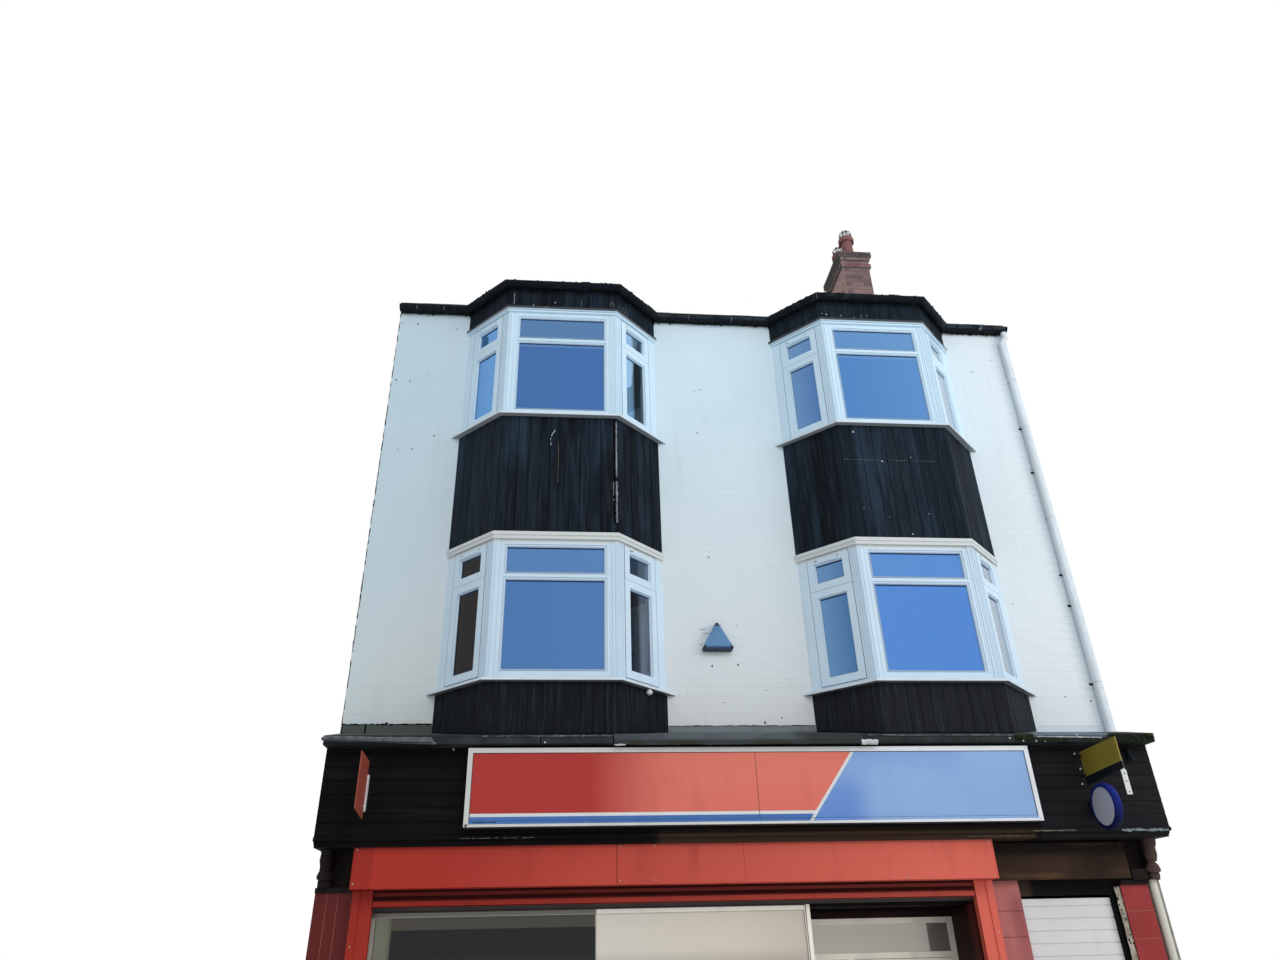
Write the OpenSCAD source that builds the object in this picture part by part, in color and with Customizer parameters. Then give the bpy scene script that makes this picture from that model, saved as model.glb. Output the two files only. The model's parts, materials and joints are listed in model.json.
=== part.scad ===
// Three-storey shop building in a row: a white-painted brick front with two canted bays,
// a timber shopfront with a sign box and a roller shutter below, and a slated roof behind.
// Millimetres. X runs right along the front, Y runs back from the face of the wall, Z is up.

/* [Building] */
// Width from party line to party line
shop_w = 7660; // [7400:10:8200]
// Depth from the front wall's face to the rear wall's face
shop_d = 8000; // [6800:10:9200]
// Height of the front wall's top outer edge
eaves_z = 9000; // [8960:10:9300]
// Pitch of both roof slopes, in degrees
roof_pitch = 32; // [26:1:36]
// Thickness of the party walls
party_t = 225; // [215:5:260]
// Thickness of the front wall
front_t = 330; // [225:5:350]
// Thickness of the rear wall
rear_t = 330; // [225:5:350]
// Thickness of the roof from slates to rafters, square to the slope
roof_t = 120; // [100:5:160]
// How far the slates reach over the gutter
slate_over = 50; // [30:5:60]
// Thickness of the slates and battens at the eaves
slate_t = 30; // [20:2:40]

/* [Floors] */
// Top of the ground floor slab
ground_floor_z = 100; // [60:10:150]
// Top of the first floor
first_floor_z = 3550; // [3480:10:3620]
// Top of the second floor, measured down from the eaves
second_floor_z = 2540; // [2480:10:2600]
// Depth of an upper floor with its ceiling
floor_t = 250; // [200:10:280]
// Underside of the top storey's ceiling, measured down from the eaves
top_ceiling_z = 180; // [100:10:200]
// Thickness of the top storey's ceiling
ceiling_t = 120; // [80:10:150]

/* [Bays] */
// Distance of each bay's middle from the middle of the front
bay_x = 1858; // [1700:2:1950]
// Width of a bay where it meets the wall
bay_w = 2250; // [2100:10:2400]
// Width of a bay's front face
bay_front_w = 1246; // [1200:2:1300]
// How far a bay stands out from the wall
bay_proj = 502; // [460:2:540]
// Thickness of the cladding with its studs
clad_t = 90; // [80:5:110]
// Joint between mitred pieces, each side of the mitre
mitre_gap = 0.5; // [0.3:0.1:1]
// Underside of the first floor windows' sills, measured up from that floor
sill_1_z = 770; // [710:10:830]
// Underside of the second floor windows' sills, measured up from that floor
sill_2_z = 771; // [720:1:780]
// Thickness of the decks inside a bay
bay_deck_t = 100; // [80:5:120]
// Thickness of a bay's flat roof
bay_roof_t = 60; // [40:5:70]

/* [Bay windows] */
// Depth of the sill board
sill_h = 40; // [30:2:60]
// Thickness of the sill's nose
sill_nose_h = 24; // [15:1:28]
// How far the sill's nose stands out from the cladding
sill_out = 65; // [50:5:80]
// How far the sill's upper step stands out
sill_step_out = 22; // [10:2:40]
// Set-back of the frames behind the cladding's face
frame_back = 12; // [4:1:20]
// Depth of the frames, front to back
frame_d = 60; // [50:2:70]
// Height of the frames
frame_h = 1409; // [1380:1:1420]
// Height of the white head trim over the frames
head_trim_h = 76; // [50:2:90]
// How far the head trim stands out from the cladding
head_trim_out = 22; // [14:2:30]
// Width of the corner posts on the front face
post_front_w = 50; // [40:2:60]
// Width of the corner posts on the canted faces
post_side_w = 90; // [80:2:100]
// Width of the posts against the wall
wall_post_w = 100; // [90:2:120]
// Width of the ribs' grooves on the posts
rib_groove = 6; // [4:1:8]
// Face width of the front frame beside its glass
frame_face = 73; // [60:1:80]
// Height of the front frame's bottom rail
bottom_rail = 72; // [60:1:80]
// Height of the front window's large pane
main_pane_h = 915; // [880:5:930]
// Height of the transom under the top light
transom_h = 62; // [50:1:70]
// Height of the top light's pane
top_pane_h = 290; // [260:5:295]
// Width of the glazing bead round the front panes
bead_w = 18; // [12:1:24]
// Depth of the step from the frame's face down to the bead
bead_step = 9; // [5:1:12]
// Face width of the side frames round their sashes
side_frame_face = 17; // [14:1:24]
// Height of the side frames' bottom rail
side_bottom_rail = 35; // [30:1:50]
// Height of a side casement's opening
casement_h = 980; // [940:5:990]
// Height of the bar between a casement and its vent
side_transom_h = 20; // [16:1:30]
// Height of a side vent's opening
vent_h = 350; // [300:5:355]
// Face width of the sashes' stiles and rails
sash_bar = 68; // [55:1:75]
// Gap between a sash and the opening it fills
sash_gap = 3; // [2:0.5:4]
// How far a sash's lip laps over its frame
sash_lap = 8; // [6:1:10]
// Thickness of a sash's lip
sash_lip_t = 10; // [8:1:11]
// Length of the trickle vents on the top sashes
trickle_l = 230; // [180:5:260]
// Height of the trickle vents
trickle_h = 20; // [14:1:26]
// How far the trickle vents stand out from the sash
trickle_out = 10; // [6:1:14]
// Thickness of a double-glazed unit
pane_t = 24; // [20:1:28]
// Clearance round a pane of glass
pane_gap = 0.3; // [0.1:0.1:0.5]

/* [Fascia] */
// Underside of the fascia boards
fascia_z = 3020; // [2980:10:3060]
// Top of the fascia boards
fascia_top_z = 3750; // [3720:10:3780]
// How far the fascia's face stands out from the wall
fascia_out = 380; // [340:5:400]
// Number of boards in the fascia
fascia_boards_n = 6; // [5:1:10]
// Thickness of the fascia boards
fascia_t = 26; // [20:1:32]
// Depth of the groove between two boards
board_groove = 6; // [3:1:12]
// How far the lead-covered capping stands out from the wall
capping_out = 540; // [530:5:600]
// Height of the capping's front edge
capping_edge_h = 80; // [60:5:100]
// Rise of the capping from its front edge to the wall
capping_rise = 135; // [110:5:150]
// Height of the lead flashing up the wall
flashing_h = 60; // [40:5:90]
// Thickness of the lead flashing with its bedding
flashing_t = 10; // [6:1:14]
// Depth of the moulded soffit under the fascia
soffit_h = 80; // [60:5:90]
// How far the soffit's moulding stands out past the fascia
soffit_lip = 20; // [10:5:30]

/* [Sign box] */
// Width of the sign box
sign_w = 5155; // [4600:5:5400]
// Height of the sign box
sign_h = 655; // [600:5:680]
// Underside of the sign box
sign_z = 3070; // [3050:5:3080]
// Depth of the sign box
sign_d = 120; // [90:5:140]
// Face width of the sign's aluminium frame
sign_frame_w = 42; // [30:2:60]
// Thickness of the sign's face panels
sign_panel_t = 6; // [4:1:10]
// Set-back of the panels behind the frame's face
sign_panel_back = 10; // [5:1:20]

/* [Shopfront] */
// Underside of the roller shutter's box
shutter_box_z = 2620; // [2600:10:2650]
// Height of the roller shutter's box
shutter_box_h = 320; // [290:5:320]
// How far the shutter box stands out from the wall
shutter_box_out = 300; // [260:5:320]
// How far the folded plates at the shutter box's ends stand out
box_plate_t = 4; // [2:1:6]
// Place of the joint in the shutter box's face, from the middle of the front
box_joint_x = -140; // [-400:10:400]
// Width of the shutter's guides
guide_w = 168; // [120:2:180]
// Width of the guides' raised outer fold
guide_fold_w = 62; // [40:2:80]
// Height of that fold over the rest of the guide's face
guide_fold_h = 10; // [4:1:16]
// Depth of the shutter's guides
guide_d = 80; // [60:2:90]
// How far the pilasters' tiles stand out from the wall
pilaster_out = 60; // [50:5:80]
// Width of the left pilaster
left_pilaster_w = 330; // [290:5:340]
// Left edge of the middle pilaster, measured from the right party line
middle_pilaster_x = 1683; // [1640:1:1730]
// Width of the middle pilaster
middle_pilaster_w = 280; // [240:5:300]
// Right edge of the right pilaster, measured from the right party line
right_pilaster_x = 162; // [130:1:200]
// Width of the right pilaster
right_pilaster_w = 266; // [240:2:280]
// Top of the pilasters' tiles
pilaster_top_z = 2560; // [2500:10:2590]
// How much higher the left pilaster's tiles end
left_pilaster_rise = 50; // [0:5:60]
// Height of the black ledge over the outer pilasters
ledge_h = 40; // [25:5:50]
// How far that ledge stands out past the tiles
ledge_out = 25; // [10:5:40]
// Top of the shop window's head
window_head_z = 2460; // [2440:10:2470]
// Height of the stall riser's top
riser_z = 520; // [450:10:700]
// Thickness of the stall riser
riser_t = 110; // [100:5:140]
// Width of the entrance between the shop window and its right reveal
entrance_w = 1500; // [1300:10:1600]
// Depth of the entrance behind the shop window's face
entrance_d = 500; // [400:10:700]
// Face width of the shopfront's aluminium frames
shop_frame_w = 50; // [40:2:65]
// Depth of the shopfront's aluminium frames
shop_frame_d = 50; // [44:2:60]
// Thickness of the shopfront's glass
shop_glass_t = 12; // [8:1:24]
// Underside of the bar under the entrance's top light
door_head_z = 2010; // [1990:5:2060]
// Top of the entrance frame's head
entrance_head_z = 2346; // [2300:2:2380]
// Width of the shop door's leaf
door_w = 940; // [860:10:1000]
// Gap round the shop door's leaf
door_gap = 4; // [3:0.5:6]
// Thickness of linings and panels in the shopfront
panel_t = 30; // [20:2:40]

/* [Side entrance] */
// Height of the side entrance's clear opening
side_open_z = 2482; // [2440:2:2500]
// Height of the black head over the side shutter
side_head_h = 130; // [100:5:135]
// Width of the jamb on the side shutter's right
side_frame_w = 98; // [80:2:110]
// Width of the jamb's raised strip beside the pilaster
side_strip_w = 62; // [40:2:70]
// How far the raised strip stands out from the rest of the jamb
side_strip_out = 18; // [8:2:28]
// Pitch of the side shutter's slats
slat_pitch = 99.8; // [80:0.2:120]
// Thickness of the side shutter's slats
slat_t = 14; // [10:1:18]
// Height of the stained timber board over the side entrance
lintel_board_h = 300; // [260:5:305]
// How far the stained timber board stands out from the wall
lintel_board_out = 130; // [110:5:150]
// How far that board runs on over the right pilaster
lintel_board_over = 88; // [60:2:110]

/* [Brackets and signs] */
// Width of the heads of the turned brackets under the fascia's ends
console_w = 112; // [90:2:130]
// Width of those brackets' turned feet
console_block_w = 140; // [120:2:144]
// Height of those feet
console_block_h = 150; // [120:5:170]
// How far the brackets stand out from the wall
console_out = 230; // [200:5:260]
// Distance of the left bracket's middle from the left party line
left_console_x = 72; // [72:1:110]
// Distance of the right bracket's middle from the right party line
right_console_x = 95; // [85:1:115]
// How far the left projecting sign reaches, front to back
left_sign_w = 370; // [280:5:420]
// Height of the left projecting sign
left_sign_h = 490; // [400:5:520]
// Distance of the left projecting sign from the left party line
left_sign_x = 385; // [300:5:450]
// How far the right projecting sign reaches, front to back
right_sign_w = 580; // [400:5:600]
// Height of the right projecting sign with its lower band
right_sign_h = 280; // [220:5:300]
// Distance of both right projecting signs from the right party line
right_sign_x = 700; // [600:5:760]
// Diameter of the round projecting sign
round_sign_d = 400; // [360:5:440]
// Height of the round sign's middle
round_sign_z = 3170; // [3150:5:3200]
// Thickness of the flat projecting signs
flat_sign_t = 30; // [20:2:40]
// Thickness of the round projecting sign
round_sign_t = 70; // [50:5:90]
// Width of the alarm box
alarm_w = 315; // [260:5:340]
// Height of the alarm box
alarm_h = 285; // [240:5:320]
// Depth of the alarm box
alarm_d = 75; // [50:5:90]
// Place of the alarm box, from the middle of the front
alarm_x = -200; // [-400:10:400]
// Height of the alarm box's foot over the first floor
alarm_z = 1220; // [1000:10:1600]

/* [Roof drainage] */
// Outer radius of the half-round gutters
gutter_r = 60; // [50:2:64]
// Wall thickness of the gutters
gutter_t = 4; // [3:0.5:6]
// Height of the gutters' rims over the eaves
gutter_rim_z = 55; // [50:1:60]
// Outer radius of the downpipes
pipe_r = 34; // [30:1:40]
// Distance of the downpipes' middle from the right party line
pipe_inset = 100; // [85:5:115]
// Distance between two of the downpipes' clips
clip_pitch = 1900; // [1500:50:2400]

/* [Chimney] */
// Distance of the chimney's middle from the right party line
chimney_x = 315; // [310:5:350]
// Distance of the chimney's middle from the ridge, towards the front
chimney_y = 230; // [-200:10:400]
// Width of the chimney's shaft, along the ridge
chimney_w = 510; // [480:10:560]
// Depth of the chimney's shaft, across the ridge
chimney_d = 880; // [800:10:960]
// Top of the chimney's brickwork cap, measured up from the walls' ridge
chimney_top_z = 2070; // [1700:10:2400]
// How far the chimney's cap oversails its shaft
cap_out = 60; // [40:5:60]
// Height of the chimney's cap
cap_h = 110; // [80:5:140]
// Height of the oversailing band under the cap
band_h = 90; // [65:5:110]
// Foot of the chimney inside the roof, measured down from the walls' ridge
chimney_foot_z = 1200; // [900:50:1500]
// Height of the chimney pots
pot_h = 560; // [400:10:600]
// Outer radius of the chimney pots at the foot
pot_r = 130; // [110:5:140]

/* [Rear] */
// Width of the rear windows
rear_win_w = 1200; // [1000:10:1300]
// Height of the rear windows
rear_win_h = 1250; // [1100:10:1350]
// Height of a rear window's sill over its floor
rear_sill_h = 900; // [800:10:1000]
// Width of the rear door with its frame
rear_door_w = 960; // [860:10:1050]
// Height of the rear door's opening over the floor
rear_door_h = 2100; // [2000:10:2200]
// Distance of the rear windows' middles from the middle
rear_win_x = 1858; // [1600:2:2100]

/* [Hidden] */

$fn = 48;

half_w = shop_w / 2;
inner_x = half_w - party_t;
rear_y = shop_d - rear_t;
ridge_y = shop_d / 2;
roof_rise = tan(roof_pitch);
roof_v = roof_t / cos(roof_pitch);

cant = atan2(bay_proj, (bay_w - bay_front_w) / 2);
half_turn = tan(cant / 2);
second_z = eaves_z - second_floor_z;
top_z = eaves_z - top_ceiling_z;
window_h = sill_h + frame_h + head_trim_h;
sills_z = [first_floor_z + sill_1_z, second_z + sill_2_z];
heads_z = [for (z = sills_z) z + window_h];
rim_z = eaves_z + gutter_rim_z;
ridge_z = eaves_z + ridge_y * roof_rise;
frame_in = -(frame_back + frame_d);
bay_roof_z = eaves_z - bay_roof_t / 2;

capping_z = fascia_top_z;
capping_wall_z = capping_z + capping_edge_h + capping_rise;
bay_foot_z = capping_wall_z;
soffit_z = fascia_z - soffit_h;

left_opening_x = -half_w + left_pilaster_w;
middle_x0 = half_w - middle_pilaster_x;
middle_x1 = middle_x0 + middle_pilaster_w;
right_x1 = half_w - right_pilaster_x;
right_x0 = right_x1 - right_pilaster_w;
entrance_x1 = middle_x0 - guide_w;
entrance_x0 = entrance_x1 - entrance_w;
window_x0 = left_opening_x + guide_w;

// Half-width of a bay's front face on the outline that lies o outside the cladding
function front_x(o) = bay_front_w / 2 + o * half_turn;
// Half-width of the same outline where it meets the wall
function wall_x(o) = bay_w / 2 + o / sin(cant);
// Half-width of the outline where it turns to follow the wall at the same distance
function turn_x(o) = bay_w / 2 + o * half_turn;
// Distance along a canted face from its front corner to the wall, on the outline at o
function cant_end(o) = (bay_proj + o * cos(cant)) / sin(cant);
function cant_turn(o) = (turn_x(o) - front_x(0)) * cos(cant) + (bay_proj - o) * sin(cant);
// A point of the right canted face, s along it from the corner and y inwards
function on_cant(s, y) = [front_x(0) + s * cos(cant) - y * sin(cant),
    -bay_proj + s * sin(cant) + y * cos(cant)];

// Plan of a bay inside the outline at o
function bay_plan(o) = [[-wall_x(o), 0], [-front_x(o), -(bay_proj + o)],
    [front_x(o), -(bay_proj + o)], [wall_x(o), 0]];
// Plan of a strip on the front face between the outlines a and b, cut on the mitres
function front_strip(a, b, gap) = [[-front_x(a) + gap, -a], [-front_x(b) + gap, -b],
    [front_x(b) - gap, -b], [front_x(a) - gap, -a]];
// Plan of a strip on a canted face, from the mitre to the wall
function cant_strip(a, b, gap) = [[gap - a * half_turn, -a], [gap - b * half_turn, -b],
    [cant_end(b), -b], [cant_end(a), -a]];
// The same, turned to meet a run along the wall
function cant_turn_strip(a, b, gap) = [[gap - a * half_turn, -a], [gap - b * half_turn, -b],
    [cant_turn(b) - gap, -b], [cant_turn(a) - gap, -a]];

module block(x0, x1, y0, y1, z0, z1) {
    translate([x0, y0, z0]) cube([x1 - x0, y1 - y0, z1 - z0]);
}

// Extrudes an outline drawn in Y and Z along X
module along_x(x0, x1) {
    translate([x0, 0, 0]) rotate([90, 0, 90]) linear_extrude(x1 - x0) children();
}

module both_sides() {
    children();
    mirror([1, 0, 0]) children();
}

module at_bays() {
    for (side = [-1, 1]) translate([side * bay_x, 0, 0]) children();
}

module front_face() {
    translate([0, -bay_proj, 0]) children();
}

module cant_face() {
    translate([front_x(0), -bay_proj, 0]) rotate([0, 0, cant]) children();
}

// Three mitred pieces round a bay, between the outlines a and b
module bay_ring(a, b, z0, h) {
    front_face() translate([0, 0, z0]) linear_extrude(h) polygon(front_strip(a, b, mitre_gap));
    both_sides() cant_face() translate([0, 0, z0]) linear_extrude(h)
        polygon(cant_strip(a, b, mitre_gap));
}

threshold_out = 25;
module ground_floor() {
    color("gray") {
        block(-inner_x, inner_x, 0, rear_y, 0, ground_floor_z);
        block(left_opening_x + 1, middle_x0 - 1, -threshold_out, 1, 0, ground_floor_z);
    }
}

module upper_floor(z1, depth) {
    color("burlywood") block(-inner_x, inner_x, front_t, rear_y, z1 - depth, z1);
}

module first_floor() { upper_floor(first_floor_z, floor_t); }
module second_floor() { upper_floor(second_z, floor_t); }
module top_ceiling() { upper_floor(top_z + ceiling_t, ceiling_t); }

// Gable wall whose top follows the underside of both slopes
module party_wall() {
    along_x(0, party_t) polygon([[0, 0], [shop_d, 0], [shop_d, eaves_z],
        [ridge_y, ridge_z], [0, eaves_z]]);
}

module left_party_wall() {
    color("rosybrown") translate([-half_w, 0, 0]) party_wall();
}

module right_party_wall() {
    color("rosybrown") difference() {
        translate([inner_x, 0, 0]) party_wall();
        chimney_shaft();
    }
}

// Wall along the front or rear between the party walls, with its top cut to the slope
module cross_wall(thickness, z0) {
    along_x(-inner_x, inner_x) polygon([[0, z0], [thickness, z0],
        [thickness, eaves_z + thickness * roof_rise], [0, eaves_z]]);
}

bay_open_w = wall_x(-clad_t);
module front_wall() {
    color("white") difference() {
        cross_wall(front_t, capping_z);
        at_bays() {
            block(-bay_open_w, bay_open_w, -1, front_t + 1, bay_foot_z + bay_deck_t, heads_z[0]);
            block(-bay_open_w, bay_open_w, -1, front_t + 1, second_z, top_z);
        }
    }
}

// Beam that carries the front, with a boarded infill from it down to the window's head
module shopfront_beam() {
    beam_z = first_floor_z - floor_t;
    color("dimgray") {
        block(-inner_x, inner_x, 0, front_t, beam_z, capping_z);
        block(-inner_x, inner_x, 0, panel_t, window_head_z, beam_z + 1);
    }
}

rear_windows = [[-rear_win_x, ground_floor_z], [-rear_win_x, first_floor_z],
    [rear_win_x, first_floor_z], [-rear_win_x, second_z], [rear_win_x, second_z]];

module at_rear_windows() {
    for (w = rear_windows) translate([w[0], rear_y, w[1] + rear_sill_h]) children();
}

module rear_wall() {
    color("white") difference() {
        translate([0, shop_d, 0]) mirror([0, 1, 0]) cross_wall(rear_t, 0);
        at_rear_windows() block(-rear_win_w / 2, rear_win_w / 2, -1, rear_t + 1, 0, rear_win_h);
        translate([rear_win_x, rear_y, ground_floor_z])
            block(-rear_door_w / 2, rear_door_w / 2, -1, rear_t + 1, 0, rear_door_h);
    }
}

// One slope: rafters down to the wall's face, and slates on over the gutter
module roof_slope() {
    slate_z = eaves_z + roof_v;
    along_x(-half_w, half_w) polygon([[0, eaves_z], [ridge_y, ridge_z], [ridge_y, ridge_z + roof_v],
        [-slate_over, slate_z - slate_over * roof_rise],
        [-slate_over, slate_z - slate_over * roof_rise - slate_t], [0, slate_z - slate_t]]);
}

module front_roof() {
    color("slategray") difference() {
        roof_slope();
        chimney_shaft();
    }
}

module rear_roof() {
    color("slategray") difference() {
        translate([0, shop_d, 0]) mirror([0, 1, 0]) roof_slope();
        chimney_shaft();
    }
}

ridge_w = 140;
ridge_t = 16;
module ridge_tiles() {
    z1 = ridge_z + roof_v;
    z0 = z1 - ridge_w * roof_rise;
    color("darkslategray") along_x(-half_w, stack_x - chimney_w / 2) polygon([
        [ridge_y - ridge_w, z0], [ridge_y, z1], [ridge_y + ridge_w, z0],
        [ridge_y + ridge_w, z0 + ridge_t], [ridge_y, z1 + ridge_t * 1.6],
        [ridge_y - ridge_w, z0 + ridge_t]]);
}

stack_x = half_w - chimney_x;
stack_y = ridge_y - chimney_y;
stack_z = ridge_z + chimney_top_z;

// Block round the chimney's middle that stands out from its shaft
module chimney_block(out, z0, z1) {
    block(stack_x - chimney_w / 2 - out, stack_x + chimney_w / 2 + out,
        stack_y - chimney_d / 2 - out, stack_y + chimney_d / 2 + out, z0, z1);
}

module chimney_shaft() {
    chimney_block(0, ridge_z - chimney_foot_z, stack_z - cap_h);
}

band_gap_h = 150;
module chimney_stack() {
    band_z = stack_z - cap_h - band_gap_h - band_h;
    color("indianred") {
        chimney_shaft();
        chimney_block(cap_out, stack_z - cap_h, stack_z);
        chimney_block(cap_out / 2, stack_z - cap_h * 1.6, stack_z - cap_h + 1);
        chimney_block(cap_out / 2, band_z, band_z + band_h);
    }
}

pot_bore_r = 88;
module chimney_pot() {
    rotate_extrude() polygon([[pot_bore_r, 0], [pot_r, 0], [pot_r - 6, 40], [pot_r - 22, 70],
        [pot_r - 28, pot_h - 90], [pot_r - 12, pot_h - 70], [pot_r - 12, pot_h - 20],
        [pot_r - 20, pot_h], [pot_bore_r, pot_h]]);
}

module chimney_pots() {
    color("sienna") for (dy = [-1, 1])
        translate([stack_x, stack_y + dy * chimney_d / 4, stack_z]) chimney_pot();
}

gutter_o = gutter_r + 3;
gutter_reach = 2 * gutter_r + 10;

// Half-round gutter along local X, its back just clear of the face at Y = 0
module gutter_length(length) {
    rotate([90, 0, 90]) linear_extrude(length, center = true)
        translate([-gutter_o, rim_z]) difference() {
            circle(gutter_r);
            circle(gutter_r - gutter_t);
            translate([-gutter_r, 0]) square([2 * gutter_r, gutter_r]);
        }
}

module gutter_cut() {
    translate([0, 0, rim_z - gutter_r - 1]) linear_extrude(gutter_r + 2) children();
}

module bay_gutter() {
    front_face() intersection() {
        gutter_length(bay_w);
        gutter_cut() polygon(front_strip(0, gutter_reach, mitre_gap));
    }
    both_sides() cant_face() intersection() {
        gutter_length(2 * bay_w);
        gutter_cut() polygon(cant_turn_strip(0, gutter_reach, mitre_gap));
    }
}

module gutter_end(x) {
    along_x(x - gutter_t / 2, x + gutter_t / 2) translate([-gutter_o, rim_z])
        difference() {
            circle(gutter_r);
            translate([-gutter_r, 0]) square([2 * gutter_r, gutter_r]);
        }
}

module gutters() {
    end_x = half_w - gutter_t / 2;
    color("black") {
        at_bays() bay_gutter();
        intersection() {
            gutter_length(2 * bay_x);
            gutter_cut() polygon([[-bay_x + turn_x(0) + mitre_gap, 0],
                [-bay_x + turn_x(gutter_reach) + mitre_gap, -gutter_reach],
                [bay_x - turn_x(gutter_reach) - mitre_gap, -gutter_reach],
                [bay_x - turn_x(0) - mitre_gap, 0]]);
        }
        both_sides() {
            intersection() {
                gutter_length(shop_w);
                gutter_cut() polygon([[bay_x + turn_x(0) + mitre_gap, 0],
                    [bay_x + turn_x(gutter_reach) + mitre_gap, -gutter_reach],
                    [half_w, -gutter_reach], [half_w, 0]]);
            }
            gutter_end(end_x);
        }
        translate([0, shop_d, 0]) mirror([0, 1, 0]) {
            gutter_length(shop_w);
            both_sides() gutter_end(end_x);
        }
    }
}

// Round pipe through a list of points, with a ball at each bend
module pipe(points) {
    for (i = [0 : len(points) - 2]) {
        step = points[i + 1] - points[i];
        translate(points[i])
            rotate([0, acos(step[2] / norm(step)), atan2(step[1], step[0])])
                cylinder(h = norm(step), r = pipe_r);
        if (i > 0) translate(points[i]) sphere(pipe_r + 3);
    }
}

clip_h = 28;
module pipe_clip(x, y, z) {
    translate([x, y, z]) cylinder(h = clip_h, r = pipe_r + 8);
    block(x - pipe_r, x + pipe_r, y, y + pipe_r + pipe_back, z, z + clip_h);
}

pipe_back = 18;
pipe_y = -(pipe_r + pipe_back);
outlet_dx = 58;
outlet_drop = 85;
neck_drop = 165;
clip_foot = 500;
clip_top = 300;
shoe_z = 50;
module downpipes() {
    x = half_w - pipe_inset;
    outlet_z = rim_z - gutter_r - 0.3;
    wall_z = capping_wall_z + pipe_y * capping_rise / capping_out;
    color("white") {
        difference() {
            pipe([[x + outlet_dx, -gutter_o, outlet_z],
                [x + outlet_dx, -gutter_o, outlet_z - outlet_drop],
                [x, pipe_y, outlet_z - neck_drop], [x, pipe_y, wall_z - 60]]);
            capping_cut();
        }
        for (z = [wall_z + clip_foot : clip_pitch : outlet_z - clip_top]) pipe_clip(x, pipe_y, z);
        pipe([[x, pipe_y, shoe_z], [x, pipe_y, pilaster_top_z + ledge_h - 1.3]]);
        pipe_clip(x, pipe_y, clip_pitch);
        translate([0, shop_d, 0]) mirror([0, 1, 0]) {
            pipe([[x, -gutter_o, outlet_z], [x, -gutter_o, outlet_z - outlet_drop],
                [x, pipe_y, outlet_z - neck_drop], [x, pipe_y, shoe_z]]);
            for (z = [clip_foot : clip_pitch : outlet_z - clip_top]) pipe_clip(x, pipe_y, z);
        }
    }
}

// Lower apron, middle apron and head band, each of three mitred panels
module bay_cladding() {
    color("black") at_bays() difference() {
        union() {
            bay_ring(-clad_t, 0, capping_z, sills_z[0] - capping_z);
            bay_ring(-clad_t, 0, heads_z[0], sills_z[1] - heads_z[0]);
            bay_ring(-clad_t, 0, heads_z[1], bay_roof_z - heads_z[1]);
        }
        capping_cut();
    }
}

// Decks at a bay's foot, heads and upper floor, and its flat roof
module bay_decks() {
    color("tan") at_bays() for (z = [bay_foot_z, heads_z[0], second_z - bay_deck_t])
        translate([0, 0, z]) linear_extrude(bay_deck_t) polygon(bay_plan(-clad_t));
    color("dimgray") at_bays() translate([0, 0, bay_roof_z]) linear_extrude(bay_roof_t)
        polygon(bay_plan(0));
}

module bay_sills() {
    color("white") at_bays() for (z = sills_z) {
        bay_ring(-clad_t, sill_out, z, sill_nose_h);
        bay_ring(-clad_t, sill_step_out, z + sill_nose_h, sill_h - sill_nose_h);
    }
}

front_frame_x = front_x(-frame_back) - post_front_w;
pane_x = front_frame_x - frame_face;
side_x0 = post_side_w + frame_back * half_turn;
side_x1 = cant_end(-frame_back) - wall_post_w;
front_panes = [[bottom_rail, main_pane_h], [bottom_rail + main_pane_h + transom_h, top_pane_h]];
side_openings = [[side_bottom_rail, casement_h],
    [side_bottom_rail + casement_h + side_transom_h, vent_h]];

head_step = head_trim_h / 2;
head_trim_in = frame_in + 5;
module head_trim() {
    bay_ring(head_trim_in, head_trim_out - 8, frame_h, head_step);
    bay_ring(head_trim_in, head_trim_out, frame_h + head_step, head_trim_h - head_step);
}

// Frames of one window, standing on the sill at Z = 0
module window_frames() {
    front_face() difference() {
        block(-front_frame_x, front_frame_x, frame_back, -frame_in, 0, frame_h + head_step / 2);
        for (pane = front_panes) {
            block(-pane_x, pane_x, 0, frame_d * 2, pane[0], pane[0] + pane[1]);
            block(-pane_x - bead_w, pane_x + bead_w, 0, frame_back + bead_step,
                pane[0] - bead_w, pane[0] + pane[1] + bead_w);
        }
    }
    both_sides() cant_face() difference() {
        block(side_x0, side_x1, frame_back, -frame_in, 0, frame_h + head_step / 2);
        for (opening = side_openings)
            block(side_x0 + side_frame_face, side_x1 - side_frame_face, 0, frame_d * 2,
                opening[0], opening[0] + opening[1]);
    }
    head_trim();
}

module at_windows() {
    at_bays() for (z = sills_z) translate([0, 0, z + sill_h]) children();
}

module bay_window_frames() {
    color("white") at_windows() window_frames();
}

post_out = -4;
// Plan of a ribbed corner post, from the front frame round to the side frame
module corner_post_plan() {
    difference() {
        polygon([[front_x(post_out), -(bay_proj + post_out)],
            [front_frame_x, -(bay_proj + post_out)], [front_frame_x, -(bay_proj + frame_in)],
            [front_x(frame_in), -(bay_proj + frame_in)], on_cant(side_x0, -frame_in),
            on_cant(side_x0, -post_out)]);
        for (s = [0.25, 0.5, 0.75]) translate(on_cant(s * side_x0, -post_out))
            rotate(cant) square(rib_groove, center = true);
        translate([front_x(post_out) - post_front_w / 2, -(bay_proj + post_out)])
            square(rib_groove, center = true);
    }
}

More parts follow.
